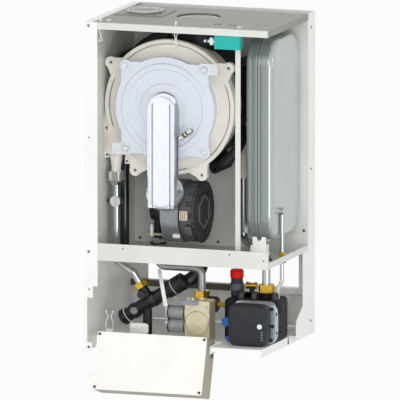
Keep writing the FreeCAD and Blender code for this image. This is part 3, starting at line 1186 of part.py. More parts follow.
def block_fittings():
    """Air vent with its red cap, two blue taps and the pressure sensor."""
    x, y = f"({RIGHT} - vent_side)", f"({BLOCK_Y} + vent_back)"
    vent = spun([("0", "0"), ("vent_radius", "0"), ("vent_radius", "vent_height"),
                 ("cap_stem", "vent_height"),
                 ("cap_stem", "vent_height + cap_height/2"), ("0", "vent_height + cap_height/2")],
                (x, y, BLOCK_TOP))
    finish("air_vent", vent)
    grip = "(cap_stem + running_gap)"
    low = "(vent_height + fit_gap)"
    ring = [(grip, low), ("cap_radius", low), ("cap_radius", f"{low} + cap_height*cap_side_share"),
            ("cap_radius*cap_top_share", f"{low} + cap_height"), ("0", f"{low} + cap_height"),
            ("0", "vent_height + cap_height*cap_grip_share"),
            (grip, "vent_height + cap_height*cap_grip_share")]
    finish("vent_cap", spun(ring, (x, y, BLOCK_TOP)))
    for label, side, rise, radius in (("fill_tap", "knob_side", "knob_rise", "knob_radius"),
                                      ("drain_tap", "drain_side", "drain_rise", "drain_knob")):
        at = (f"({RIGHT} - {side})", BLOCK_Y, f"({SHELF} + {rise})")
        finish("water_block", rod("stem_radius", "stem_length + knob_length/2", at, "-Y"))
        bore = "(stem_radius + running_gap)"
        start = "(stem_length)"
        knob = spun([(bore, start), (radius, start), (radius, f"{start} + knob_length*knob_side_share"),
                     (f"{radius}*knob_top_share", f"{start} + knob_length"), ("0", f"{start} + knob_length"),
                     ("0", f"{start} + knob_length*knob_grip_share"),
                     (bore, f"{start} + knob_length*knob_grip_share")], at, "-Y")
        finish(f"{label}_knob", knob)
    at = (BLOCK_LEFT, f"({BLOCK_Y} + block_depth - 2*block_corner)", f"({SHELF} + sensor_rise - sensor_stem)")
    sensor = spun([("0", "0"), ("sensor_stem", "0"), ("sensor_stem", "sensor_reach"),
                   ("sensor_body*sensor_neck_share", "sensor_reach"),
                   ("sensor_body", "sensor_reach + sensor_stem/2"),
                   ("sensor_body", "sensor_reach + sensor_long"),
                   ("0", "sensor_reach + sensor_long")], at, "-X")
    finish("pressure_sensor", sensor)


# Vessel riser and grommets
def vessel_riser():
    """Thin pipe from the vessel's right face down through the tray and over to the water block."""
    top = f"({DECK} + vessel_rise + vessel_port)"
    low = f"({BLOCK_TOP} + 3*stub_height)"
    side = f"({RETURN_X} + union_across/2 + vessel_pipe + vessel_pipe_gap)"
    route = [(RISER_X, RISER_Y, top), (RISER_X, RISER_Y, low),
             (side, RETURN_Y, f"{BLOCK_TOP} + stub_height*riser_turn_share"),
             (side, RETURN_Y, BLOCK_TOP)]
    stem = pipe(route, "vessel_pipe", "vessel_pipe_bend", "pipe_wall")
    finish("water_pipes", stem)
    port = rod("brass_across/2", f"{RISER_X} + vessel_pipe - {VESSEL_FACE} + fit_gap",
               (VESSEL_FACE, RISER_Y, f"{top} + brass_across/2"), "X")
    finish("vessel_fittings", port)


GROMMETS = [
    (FLOW_X, FLOW_Y, "flow_radius"), (GAS_UP_X, VALVE_Y, "gas_radius"),
    (RETURN_X, RETURN_Y, "return_radius"), (RISER_X, RISER_Y, "vessel_pipe"),
]


def grommets():
    rings = []
    for x, y, radius in GROMMETS:
        bore = f"({radius} + running_gap)"
        groove = f"({radius} + grommet_wall)"
        edge = f"({radius} + 2*grommet_wall)"
        rings.append(spun([(bore, "-grommet_rise"), (edge, "-grommet_rise"), (edge, "-running_gap"),
                           (groove, "-running_gap"), (groove, "sheet + running_gap"),
                           (edge, "sheet + running_gap"),
                           (edge, "sheet + grommet_rise/2"), (bore, "sheet + grommet_rise/2")],
                          (x, y, FLOOR)))
    finish("grommets", together(*rings))


# Control box, swung down on its hinge below the shelf's front edge
BOX_SIZES = {
    "hinge_forward": 33.5, "hinge_level": 22, "box_left": 32, "case_width": 277, "case_height": 140,
    "case_thick": 67, "case_foot": 20, "case_wall": 2.5, "cover_thick": 3, "case_open_angle": 162.5,
    "pin_radius": 4, "arm_thick": 3, "arm_gap": 1, "arm_reach": 12, "arm_foot": 8, "lug_width": 16,
    "lug_height": 20, "lug_level": 88, "lug_bore": 2.5, "head_radius": 3.2, "head_rise": 1.6,
    "head_inset": 6, "board_gap": 10, "board_thick": 1.6, "board_margin": 12, "chip_rise": 12,
    "window_width": 80, "window_height": 34, "window_rise": 1.5, "window_level": 62, "dial_radius": 19,
    "dial_rise": 12, "dial_side": 60, "dial_level": 60, "dial_stem": 4, "key_radius": 6, "key_rise": 2.5,
    "key_drop": 40, "case_slot_share": 0.4, "dial_stem_share": 0.6, "lug_bore_share": 0.6,
    "dial_side_share": 0.92, "dial_edge_share": 0.85, "dial_top_share": 0.8, "dial_grip_share": 0.7,
    "dial_mark_share": 0.75,
}
sizes(BOX_SIZES)
HINGE = (f"({LEFT} + box_left)", f"({FRONT} + hinge_forward)", f"({BASE} + hinge_level)")
OPEN = Rotation(Vector(1, 0, 0), cell("case_open_angle"))
CASE_BACK = "(case_thick/2)"
CASE_FOOT = "(-case_foot)"


def hinged(label, piece):
    """Places a piece that was built about the hinge, box shut, at the angle the box is swung to."""
    finish(label, place(together(piece), HINGE, OPEN))


def control_case():
    """Tub with a hinge pin on each side, open towards its cover."""
    depth = f"({CASE_BACK} - cover_thick - fit_gap/3 + case_thick/2)"
    outer = padded(rectangle("0", CASE_FOOT, "case_width", f"{CASE_FOOT} + case_height"), depth,
                   ("0", f"{CASE_BACK} - cover_thick - fit_gap/3", "0"), "-Y")
    soften(outer, "case_wall", upright)
    soften_top(outer, "case_wall*2")
    inner = block(("case_wall", "case_wall - case_thick/2", f"{CASE_FOOT} + case_wall"),
                  ("case_width - 2*case_wall", "case_thick", "case_height - 2*case_wall"))
    pins = [rod("pin_radius", "arm_gap + arm_thick", ("0", "0", "0"), "-X"),
            rod("pin_radius", "arm_gap + arm_thick", ("case_width", "0", "0"), "X")]
    slot = block(("case_width - case_wall - overrun", "-lug_height/4", "case_foot*case_slot_share"),
                 ("case_wall + 2*overrun", "lug_height/4", "lug_height"))
    stems = []
    for x in DIALS:
        stems.append(rod("dial_stem", "case_wall + dial_rise*dial_stem_share",
                         (x, "case_wall - case_thick/2", "dial_level"), "-Y"))
    posts = [rod("dial_stem", f"{depth} - board_gap - board_thick",
                 (x, "-case_thick/2", z), "Y")
             for x in ("2*board_margin", "case_width - 2*board_margin")
             for z in (f"{CASE_FOOT} + 2*board_margin", f"{CASE_FOOT} + case_height - 2*board_margin")]
    key = rod("key_radius + fit_gap", "3*case_wall", (KEY_X, "2*case_wall - case_thick/2", KEY_Z), "-Y")
    cut = minus(union(minus(outer, inner), *pins, *stems, *posts), slot, key)
    hinged("control_case", cut)


DIALS = ("dial_side", "(case_width - dial_side)")
KEY_X = "(case_width/2)"
KEY_Z = "(window_level - key_drop)"


def control_cover():
    """Flat cover with four screws and a lug with a hole on its left edge."""
    start = f"({CASE_BACK} - cover_thick)"
    plate = padded(rectangle("0", CASE_FOOT, "case_width", f"{CASE_FOOT} + case_height"), "cover_thick",
                   ("0", CASE_BACK, "0"), "-Y")
    soften(plate, "case_wall*2", upright)
    lug = block(("-lug_width", start, "lug_level - lug_height/2"),
                ("2*lug_width", "cover_thick", "lug_height"))
    bore = rod("lug_bore", "cover_thick + 2*overrun",
               ("-lug_width*lug_bore_share", f"{start} - overrun", "lug_level"), "Y")
    hinged("control_cover", minus(union(plate, lug), bore))
    heads = [rod("head_radius", "head_rise", (x, CASE_BACK, z), "Y")
             for x in ("head_inset", "case_width - head_inset")
             for z in (f"{CASE_FOOT} + head_inset", f"{CASE_FOOT} + case_height - head_inset")]
    hinged("control_screws", together(*heads))


def control_insides():
    """Circuit board on posts, and on the user's side a window, two dials and a key."""
    rear = f"({CASE_BACK} - cover_thick - board_gap)"
    board = block(("board_margin", f"{rear} - board_thick", f"{CASE_FOOT} + board_margin"),
                  ("case_width - 2*board_margin", "board_thick", "case_height - 2*board_margin"))
    chip = block(("3*board_margin", f"{rear} - board_thick - chip_rise", "0"),
                 ("4*chip_rise", "chip_rise", "3*chip_rise"))
    hinged("circuit_board", union(board, chip))
    face = "(-case_thick/2)"
    pane = block(("case_width/2 - window_width/2", f"{face} - window_rise",
                  "window_level - window_height/2"),
                 ("window_width", "window_rise", "window_height"))
    hinged("display_window", pane)
    for label, x in zip(("heating_dial", "water_dial"), DIALS):
        low = f"({face} - fit_gap)"
        bore = "(dial_stem + running_gap)"
        dial = spun([(bore, "0"), ("dial_radius", "0"),
                     ("dial_radius*dial_side_share", "dial_rise*dial_edge_share"),
                     ("dial_radius*dial_top_share", "dial_rise"), ("0", "dial_rise"),
                     ("0", "dial_rise*dial_grip_share"),
                     (bore, "dial_rise*dial_grip_share")],
                    (x, low, "dial_level"), "-Y")
        mark = block((f"{x} - dial_stem/4", f"{low} - dial_rise - key_rise/3", "dial_level"),
                     ("dial_stem/2", "key_rise", "dial_radius*dial_mark_share"))
        hinged(label, union(dial, mark))
    key = spun([("0", "0"), ("key_radius", "0"), ("key_radius", "case_wall + key_rise"),
                ("0", "case_wall + key_rise")],
               (KEY_X, f"{face} + case_wall", KEY_Z), "-Y")
    hinged("reset_key", key)


def hinge_arms():
    """Plates under the shelf's front edge, bored for the box's pins."""
    x0, y0, z0 = HINGE
    top = f"({SHELF} - shelf_thick)"
    arms = []
    for x in (f"{x0} - arm_gap - arm_thick", f"{x0} + case_width + arm_gap"):
        plate = block((x, f"{y0} - arm_reach", f"{BASE} + arm_foot"),
                      ("arm_thick", f"-shelf_front + hinge_forward + arm_reach*2 - {y0} - hinge_forward",
                       f"{top} - {BASE} - arm_foot"))
        bore = rod("pin_radius + running_gap", "arm_thick + 2*overrun", (f"{x} - overrun", y0, z0), "X")
        arms.append(minus(plate, bore))
    finish("bottom_shelf", together(*arms))


# Wire clips that hold the front cover
CLIP_SIZES = {
    "clip_wire": 1.1, "clip_bend": 2.5, "clip_span": 9, "clip_neck": 3, "clip_drop": 44, "clip_mid": 20,
    "clip_knee": 32, "clip_ball": 2.4, "clip_edge": 38, "clip_second": 190, "clip_back": 11,
    "clip_stub": 10, "clip_stub_radius": 2.4, "low_clip_left": 36, "low_clip_back": 80,
    "low_clip_post": 14,
}
sizes(CLIP_SIZES)

# Sizes that follow from others: the frame is as large as what it holds and the room around that
FOLLOWING = {
    "rim_radius": "shell_radius + rim_step",
    "ear_radius": "shell_radius + ear_step",
    "seat_radius": "shell_radius - seat_step",
    "door_skirt": "seat_radius",
    "coil_radius": "shell_radius - coil_step",
    "door_radius": "shell_radius - door_step",
    "door_pitch": "shell_radius*door_pitch_share",
    "step_one": "door_radius - groove_step",
    "step_two": "door_radius - 2*groove_step",
    "step_three": "door_radius*step_three_share",
    "header_left": "shell_radius + header_step",
    "header_low": "shell_radius*header_low_share",
    "header_right": "shell_radius*header_right_share",
    "header_high": "shell_radius*header_high_share",
    "electrode_reach": "step_three*electrode_reach_share",
    "electrode_length": "step_three*electrode_length_share",
    "electrode_width": "step_three*electrode_width_share",
    "zinc_inner": "door_pitch/2 - zinc_in",
    "zinc_outer": "door_pitch/2 + zinc_out",
    "zinc_low": "door_pitch/2 - zinc_under",
    "zinc_high": "door_pitch/2 + zinc_over",
    "zinc_screw": "door_pitch/2 + zinc_reach",
    "exchanger_side": "rim_radius + exchanger_gap",
    "exchanger_drop": "rim_radius + flue_space",
    "upper_width": "chamber_inset + exchanger_side + rim_radius + vessel_gap + 2*vessel_half + vessel_side",
    "lower_width": "valve_place + valve_room + block_left",
    "frame_width": "max(upper_width; lower_width)",
    "frame_depth": "exchanger_back + exchanger_depth + door_rise + front_space",
    "tray_level": "shelf_level + shelf_thick + valve_height + cover_rise + pipe_space",
    "frame_height": "tray_level + sheet + fan_space + rim_radius + exchanger_drop",
    "hook_height": "frame_height - hook_drop",
    "exchanger_x": "chamber_inset + exchanger_side - frame_width/2",
    "flue_x": "exchanger_x + flue_side",
    "flue_y": "exchanger_back + exchanger_depth*flue_share",
    "fan_left": "exchanger_side - fan_side",
    "flow_side": "shell_radius - flow_step",
    "return_x": "exchanger_x + shell_radius - return_step",
    "return_y": "exchanger_back + return_inset",
    "man_x": "frame_width/2 - man_left",
    "cup_x": "frame_width/2 - cup_left",
    "valve_x": "valve_place - frame_width/2",
    "vessel_height": "frame_height - tray_level - 2*sheet - vessel_rise - vessel_top",
    "vessel_depth": "frame_depth - rear_gap - 2*sheet - vessel_back - vessel_front",
    "shelf_front": "frame_depth - shelf_set",
    "shelf_nose_left": "box_left + case_width + nose_gap - frame_width/2",
    "rear_panel_foot": "tray_level - panel_lap",
}
sizes({name: f"={text}" for name, text in FOLLOWING.items()})


def wire_clip(place_point):
    """A bent wire that narrows to a neck and ends in two balls; the function places (across, drop)."""
    route = [place_point("-clip_span", "clip_drop"), place_point("-clip_neck", "clip_knee"),
             place_point("-clip_span", "clip_mid"), place_point("-clip_span", "clip_wire"),
             place_point("clip_span", "clip_wire"), place_point("clip_span", "clip_mid"),
             place_point("clip_neck", "clip_knee"), place_point("clip_span", "clip_drop")]
    wire = pipe(route, "clip_wire", "clip_bend")
    return union(wire, ball("clip_ball", route[0]), ball("clip_ball", route[-1]))


def cover_clips():
    clips = []
    y = f"({CHAMBER_FRONT} + clip_back + sheet)"
    for x in (f"({LEFT} + clip_edge)", f"({LEFT} + clip_edge + clip_second)"):
        clips.append(wire_clip(lambda a, d, x=x: (x, f"{y} + ({a})", f"{CEILING} - ({d})")))
        clips.append(rod("clip_stub_radius", "clip_stub", (x, y, TOP)))
    x, y = f"({LEFT} + low_clip_left)", f"({FRONT} + low_clip_back)"
    foot = f"({SHELF} + low_clip_post)"
    clips.append(wire_clip(lambda a, d: (f"{x} + ({a})", y, f"{foot} + ({d})")))
    clips.append(block((f"{x} - clip_span", f"{y} - clip_neck", SHELF),
                       ("2*clip_span", "2*clip_neck", "low_clip_post")))
    finish("cover_clips", together(*clips))


def main():
    left_side_panel()
    right_upright()
    rear_panel()
    lower_back_plate()
    leg = man("-leg_along", "0")
    bottom_shelf([(leg[0], leg[1], "port_radius + grommet_wall"),
                  (VALVE_X, VALVE_Y, "gas_port + grommet_wall"),
                  (PORT_X, RETURN_Y, "gas_port + grommet_wall")])
    chamber_top()
    chamber_tray([(x, y, f"{radius} + grommet_wall + running_gap") for x, y, radius in GROMMETS])
    chamber_walls()
    for make in (front_post, air_intake, rear_shell, front_shell, coil, burner, burner_door, door_studs,
                 zinc_brackets, side_bar, electrode, manifold, manifold_bolts, fan, mixer, transformer,
                 vessel, vessel_bracket, flow_line, return_line, union_nuts, flow_manifold, gas_line,
                 pump_head, pump_motor, water_block, block_fittings, vessel_riser, grommets,
                 control_case, control_cover, control_insides, hinge_arms, cover_clips):
        make()
    export()


def export():
    """Gathers the pieces of each sub-part, checks every object and writes each sub-part's shape."""
    wholes = []
    for label, pieces in sub_parts.items():
        whole = pieces[0] if len(pieces) == 1 else together(*pieces)
        whole.Label = label
        wholes.append(whole)
    doc.recompute()
    for thing in doc.Objects:
        if "Invalid" in thing.State or "Error" in thing.State:
            raise RuntimeError(f"{thing.Label} did not build: {thing.State}")
    for whole in wholes:
        if whole.Shape.isNull() or not whole.Shape.isValid() or not whole.Shape.Solids:
            raise RuntimeError(f"{whole.Label} has no valid solid")
    os.makedirs("parts", exist_ok=True)
    for whole in wholes:
        whole.Shape.exportStep(f"parts/{whole.Label}.step")


main()
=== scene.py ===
"""Looks of a wall-hung condensing boiler that is open for service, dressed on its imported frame."""
import math

import bpy
import bmesh
import numpy as np
from bpy.props import FloatProperty, FloatVectorProperty, PointerProperty
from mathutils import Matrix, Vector


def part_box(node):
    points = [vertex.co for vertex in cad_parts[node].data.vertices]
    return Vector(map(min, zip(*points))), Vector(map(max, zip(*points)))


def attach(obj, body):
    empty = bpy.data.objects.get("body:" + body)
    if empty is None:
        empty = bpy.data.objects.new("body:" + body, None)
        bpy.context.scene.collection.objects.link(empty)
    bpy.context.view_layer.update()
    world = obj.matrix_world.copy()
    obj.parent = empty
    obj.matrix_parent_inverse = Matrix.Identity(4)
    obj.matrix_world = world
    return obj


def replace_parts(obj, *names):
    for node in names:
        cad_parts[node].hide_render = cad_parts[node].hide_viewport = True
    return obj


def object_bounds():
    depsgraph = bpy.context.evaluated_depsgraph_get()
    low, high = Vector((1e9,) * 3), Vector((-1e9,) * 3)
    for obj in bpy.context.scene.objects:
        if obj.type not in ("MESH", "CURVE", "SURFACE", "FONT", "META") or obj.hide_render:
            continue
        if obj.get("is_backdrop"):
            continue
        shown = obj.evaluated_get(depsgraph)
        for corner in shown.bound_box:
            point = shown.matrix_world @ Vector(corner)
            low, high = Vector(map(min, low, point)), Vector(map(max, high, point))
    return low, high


bl_info = {
    "name": "Condensing boiler looks",
    "version": (1, 0, 0),
    "blender": (4, 5, 0),
    "location": "View3D > Sidebar > Boiler",
    "description": "Finishes and small fittings of a wall-hung condensing boiler",
    "category": "Object",
}

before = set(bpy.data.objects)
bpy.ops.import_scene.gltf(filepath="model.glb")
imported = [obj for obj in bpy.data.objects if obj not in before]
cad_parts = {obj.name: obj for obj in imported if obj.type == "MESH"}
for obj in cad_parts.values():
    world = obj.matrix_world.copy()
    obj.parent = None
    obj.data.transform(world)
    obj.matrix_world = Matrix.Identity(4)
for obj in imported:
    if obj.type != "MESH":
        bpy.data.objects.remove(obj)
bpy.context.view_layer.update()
MM = 0.001
# Edges sharper than this stay crisp, and points nearer than this, in metres, are one
CRISP = math.radians(35)
WELD = 1e-6
# Keeps a path that runs straight back from being parallel to the direction it is turned by
NUDGE = 1e-6

# Directions of the shared frame
FRONT, BACK = (0, -1, 0), (0, 1, 0)
RIGHT, LEFT = (1, 0, 0), (-1, 0, 0)
UP, DOWN = (0, 0, 1), (0, 0, -1)

# The exchanger's axis, which runs from front to back
SHELL_X, SHELL_Z = -41, -167
SHELL_RADIUS = 150

# How every finish is drawn: where the drift's two tones lie on its noise, between which shares of its
# roughness the gloss wanders, and how strongly the grain stands out
DRIFT_STOPS = 0.3, 0.7
GLOSS_RANGE = 0.85, 1.15
GRAIN_STRENGTH = 0.6


# Colours and sizes

def srgb(text):
    """Linear colour of an sRGB hex value."""
    parts = [int(text[k:k + 2], 16) / 255 for k in (0, 2, 4)]
    return tuple(c / 12.92 if c <= 0.04045 else ((c + 0.055) / 1.055) ** 2.4 for c in parts)


def colour(label, text, words):
    """A colour that a user may change, from its hex value."""
    return FloatVectorProperty(name=label, description=words, subtype="COLOR", size=3, min=0, max=1,
                               default=srgb(text))


def length(label, size, words):
    """A size that a user may change, from millimetres."""
    return FloatProperty(name=label, description=words, unit="LENGTH", min=0, default=size * MM)


class BoilerColours(bpy.types.PropertyGroup):
    """Colours of the boiler's finishes."""
    casing: colour("Casing", "f9faf7", "Powder coat of the casing and its brackets")
    # The chamber's walls are written nearly white, a painted light over their mid grey coat
    chamber: colour("Chamber", "ebede8", "Coated sheet of the chamber's walls")
    # The top's duller grey is painted shade, and its front fold takes the tray's pale colour as painted
    # light
    top: colour("Top", "8d9188", "Coated sheet of the chamber's top")
    tray: colour("Tray", "dee1da", "Coated sheet of the chamber's tray")
    back_plate: colour("Lower back plate", "5d564c", "Folded edge of the lower back plate")
    shell: colour("Exchanger shell", "f0ebe2", "Moulded composite of the exchanger's front")
    door: colour("Burner door", "d8dee7", "Cast aluminium of the door")
    duct: colour("Mixture duct", "eff3f8", "Cast aluminium of the duct and its flange")
    black: colour("Black plastic", "18191c", "Moulded black plastic")
    charcoal: colour("Charcoal plastic", "2a2b2f", "Moulded pump head and vent")
    fan_case: colour("Fan housing", "8e9296", "Cast fan housing")
    teal: colour("Transformer", "00b5ad", "Moulded teal plastic")
    vessel: colour("Vessel", "afbab7", "Enamel of the expansion vessel")
    pipe: colour("Pipes", "b9bdbd", "Drawn bright pipe")
    brass: colour("Brass", "d2ab3c", "Turned brass nuts")
    khaki: colour("Gas valve", "d9d0b0", "Passivated casting of the gas valve")
    grey: colour("Grey plastic", "9b9d9b", "Moulded grey coils and knobs")
    red: colour("Vent cap", "e80505", "Moulded red plastic")
    blue: colour("Tap knobs", "1f63c4", "Moulded blue plastic")
    box: colour("Control box", "fbfaf4", "Moulded warm white plastic")
    # The tub's sand grey is painted shade on the control box's sides
    tub: colour("Control box tub", "a8a090", "Moulded sides of the control box")
    board: colour("Circuit board", "1d6b39", "Solder mask of the board")


class BoilerSizes(bpy.types.PropertyGroup):
    """Sizes of the small fittings."""
    screw: length("Panel screw", 3.4, "Radius of a panel screw's head")
    hole: length("Sheet hole", 2.6, "Radius of a small hole in the sheet metal")
    band: length("Manifold band", 1.2, "Width of a pale band on the black manifold")
    lamp: length("Pump lamp", 1.8, "Radius of a lamp on the pump's head")
    strip: length("Strap", 10.0, "Width of the slanting strap under the tray")


# Shader nodes and finishes

def add(tree, kind, links=None, values=None, **settings):
    """Adds a shader node, sets it up and links its inputs."""
    made = tree.nodes.new(kind)
    for name, value in settings.items():
        setattr(made, name, value)
    for name, value in (values or {}).items():
        made.inputs[name].default_value = value
    for name, source in (links or {}).items():
        tree.links.new(source, made.inputs[name])
    return made


def per_mm(size):
    """Texture scale that gives features of a size in millimetres."""
    return 1 / (size * MM)


def inside(tree, coords, limits):
    """One where Object coordinates lie on the named side of every limit: (axis, sign, millimetres)."""
    split = add(tree, "ShaderNodeSeparateXYZ", {"Vector": coords})
    mask = None
    for axis, sign, limit in limits:
        kind = "GREATER_THAN" if sign > 0 else "LESS_THAN"
        test = add(tree, "ShaderNodeMath", {0: split.outputs[axis]}, {1: limit * MM}, operation=kind)
        mask = test.outputs[0] if mask is None else add(
            tree, "ShaderNodeMath", {0: mask, 1: test.outputs[0]}, operation="MULTIPLY").outputs[0]
    return mask


def finish(name, tone, patch=60, spread=0.08, grain=1.5, bump=0.05, rough=0.45, metallic=0.0,
           stretch=(1, 1, 1), spots=False, patches=(), **sockets):
    """A finish with slow colour drift, a fine bump and uneven gloss.

    The drift's patches, the grain and the bump's depth are in millimetres. A real grain is often finer:
    it is drawn as coarse as it needs to show. Each of the patches is a tone and the limits of the part of
    the piece that it covers.
    """
    made = bpy.data.materials.new(name)
    made.use_nodes = True
    tree = made.node_tree
    shader = tree.nodes["Principled BSDF"]
    coords = add(tree, "ShaderNodeTexCoord").outputs["Object"]
    drawn = add(tree, "ShaderNodeMapping", {"Vector": coords}, {"Scale": stretch}).outputs["Vector"]
    if spots:
        drift = add(tree, "ShaderNodeTexVoronoi", {"Vector": drawn},
                    {"Scale": per_mm(patch)}).outputs["Color"]
    else:
        drift = add(tree, "ShaderNodeTexNoise", {"Vector": drawn},
                    {"Scale": per_mm(patch), "Detail": 3.0}).outputs["Fac"]
    ramp = add(tree, "ShaderNodeValToRGB", {"Fac": drift})
    for stop, place, share in zip(ramp.color_ramp.elements, DRIFT_STOPS, (1 - spread, 1 + spread)):
        stop.position = place
        stop.color = (*(min(1, c * share) for c in tone), 1)
    hue = ramp.outputs["Color"]
    for other, limits in patches:
        hue = add(tree, "ShaderNodeMixRGB", {"Fac": inside(tree, coords, limits), "Color1": hue},
                  {"Color2": (*other, 1)}).outputs["Color"]
    tree.links.new(hue, shader.inputs["Base Color"])
    fine = add(tree, "ShaderNodeTexNoise", {"Vector": drawn}, {"Scale": per_mm(grain), "Detail": 2.0})
    least, most = (min(1, rough * share) for share in GLOSS_RANGE)
    gloss = add(tree, "ShaderNodeMapRange", {"Value": fine.outputs["Fac"]},
                {"To Min": least, "To Max": most})
    tree.links.new(gloss.outputs["Result"], shader.inputs["Roughness"])
    relief = add(tree, "ShaderNodeBump", {"Height": fine.outputs["Fac"]},
                 {"Strength": GRAIN_STRENGTH, "Distance": bump * MM})
    tree.links.new(relief.outputs["Normal"], shader.inputs["Normal"])
    shader.inputs["Metallic"].default_value = metallic
    for socket, value in sockets.items():
        shader.inputs[socket.replace("_", " ")].default_value = value
    return made


def darker(tone, share):
    """A share of a tone."""
    return tuple(part * share for part in tone)


def wear(made, *nodes):
    """Puts a finish on carried-over solids."""
    for node in nodes:
        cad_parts[node].data.materials.clear()
        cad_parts[node].data.materials.append(made)


# Surfaces

def basis(axis):
    """Two directions across an axis, and the axis itself."""
    along = np.array(axis, float) / np.linalg.norm(axis)
    helper = np.array(UP if abs(along[2]) < 0.9 else RIGHT, float)
    side = np.cross(helper, along)
    side /= np.linalg.norm(side)
    return side, np.cross(along, side), along


def grid_faces(rows, columns):
    """Quads of a grid that closes on itself across its columns."""
    r, c = np.meshgrid(np.arange(rows - 1), np.arange(columns), indexing="ij")
    here, after = r * columns + c, r * columns + (c + 1) % columns
    return np.stack([here, after, after + columns, here + columns], -1).reshape(-1, 4)


def superellipse(wide, high, power=2.0, count=32):
    """Outline of |x/wide|^p + |y/high|^p = 1."""
    angle = np.linspace(0, math.tau, count, endpoint=False) + math.pi / count
    c, s = np.cos(angle), np.sin(angle)
    x = np.sign(c) * np.abs(c) ** (2 / power) * wide
    y = np.sign(s) * np.abs(s) ** (2 / power) * high
    return np.stack([x, y], -1)


def scalloped(radius, depth, waves, count=192):
    """Outline of a circle whose radius swells and sinks a number of times, as a cosine does."""
    angle = np.linspace(0, math.tau, count, endpoint=False)
    reach = radius + depth * np.cos(waves * angle)
    return np.stack([reach * np.cos(angle), reach * np.sin(angle)], -1)


def stacked(levels, at, axis):
    """Joins outlines of one count, each at its own height up an axis."""
    side, up, along = basis(axis)
    rings = [np.array(at) + ring[:, :1] * side + ring[:, 1:] * up + height * along
             for ring, height in levels]
    return np.concatenate(rings) * MM, grid_faces(len(levels), len(rings[0]))


def lofted(profile, at, axis, outline):
    """Carries an outline up an axis: each (share, height) of the profile scales it and lifts it."""
    outline = np.array(outline, float)
    return stacked([(share * outline, height) for share, height in profile], at, axis)


def turned(profile, at, axis, count=32):
    """Spins a profile of (radius, height) about an axis."""
    return lofted(profile, at, axis, superellipse(1, 1, count=count))


def band(inner, outer, start, width, at, axis, count=64):
    """A flat ring between two radii, closed on itself."""
    loop = [(inner, start), (outer, start), (outer, start + width), (inner, start + width), (inner, start)]
    return turned(loop, at, axis, count)


def rod(radius, start, end, at, axis, count=32):
    """A plain round bar between two heights of an axis."""
    return turned([(0, start), (radius, start), (radius, end), (0, end)], at, axis, count)


def plate(outline, at, axis, thick):
    """A flat sheet of an outline that can be seen whole from its own origin."""
    return lofted([(0, 0), (1, 0), (1, thick), (0, thick)], at, axis, outline)


def swept(path, wide, high, count=12, power=2.0, loop=False):
    """Carries a superellipse along a path with its flat side turned to the front.

    The ends close to a point, or a loop closes on its own start.
    """
    path = np.array(path, float)
    along = np.roll(path, -1, 0) - np.roll(path, 1, 0) if loop else np.gradient(path, axis=0)
    along /= np.linalg.norm(along, axis=1)[:, None]
    side = np.cross(along, np.array(BACK) + NUDGE)
    side /= np.linalg.norm(side, axis=1)[:, None]
    up = np.cross(side, along)
    x, y = superellipse(wide, high, power, count).T
    body = path[:, None, :] + x[None, :, None] * side[:, None, :] + y[None, :, None] * up[:, None, :]
    start = np.repeat(path[:1, None, :], count, 1)
    end = np.repeat(path[-1:, None, :], count, 1)
    points = np.concatenate([body, body[:1]] if loop else [start, body, end])
    return points.reshape(-1, 3) * MM, grid_faces(len(points), count)


def arc(radius, first, last, count, at):
    """Points of a circle across the front-to-back axis, from one angle in degrees to another.

    The radius and the middle's depth may change along the arc.
    """
    turn = np.radians(np.linspace(first, last, count))
    x, z = at[0] + radius * np.cos(turn), at[2] + radius * np.sin(turn)
    return np.stack([x, at[1] + np.zeros(count), z], -1)


def piece(name, surfaces, made, body="frame"):
    """Joins surfaces in one object, closes their seams, and lets it ride on a body."""
    points, faces, first = [], [], 0
    for p, f in surfaces:
        points.append(p)
        faces.append(f + first)
        first += len(p)
    mesh = bpy.data.meshes.new(name)
    mesh.from_pydata(np.concatenate(points).tolist(), [], np.concatenate(faces).tolist())
    work = bmesh.new()
    work.from_mesh(mesh)
    bmesh.ops.remove_doubles(work, verts=work.verts, dist=WELD)
    bmesh.ops.recalc_face_normals(work, faces=work.faces)
    work.to_mesh(mesh)
    work.free()
    mesh.shade_smooth()
    mesh.set_sharp_from_angle(angle=CRISP)
    mesh.materials.append(made)
    thing = bpy.data.objects.new(name, mesh)
    bpy.context.scene.collection.objects.link(thing)
    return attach(thing, body)


def surface(node, start, way):
    """Where a line from a point first meets a carried-over solid, in millimetres."""
    found, place, _, _ = bpy.data.objects[node].ray_cast(Vector(start) * MM, Vector(way))
    if not found:
        raise RuntimeError(f"no surface of {node} there")
    return np.array(place) / MM


def screw(at, axis, radius):
    """Pan head with a round driver recess: a profile in shares of its radius, spun about its axis."""
    profile = [(0, 0.1), (0.38, 0.1), (0.42, 0.42), (0.72, 0.38), (0.95, 0.18), (1, 0), (1, -0.2),
               (0, -0.2)]
    return turned(np.array(profile) * radius, at, axis, 20)


def disc(at, axis, radius, thick=0.35):
    """A thin round plate, a third of it sunk in what carries it."""
    return rod(radius, -thick / 2, thick, at, axis, 24)


def moulding(at, axis, wide, high, deep, edge=1.0, power=7.0):
    """A superellipse that stands up its axis and draws in to a soft front edge."""
    soft = 1 - edge / min(wide, high)
    profile = [(0, 0), (1, 0), (1, deep - edge), ((1 + soft) / 2, deep - edge * 0.3), (soft, deep),
               (0, deep)]
    return lofted(profile, at, axis, superellipse(wide, high, power))


def lowest(node):
    """Lowest corner of a solid, in millimetres."""
    return np.array(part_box(node)[0]) / MM


def highest(node):
    """Highest corner of a solid, in millimetres."""
    return np.array(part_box(node)[1]) / MM


def middle_of(node):
    """Middle of a solid's box, in millimetres."""
    return (lowest(node) + highest(node)) / 2


# Finishes of the carried-over solids

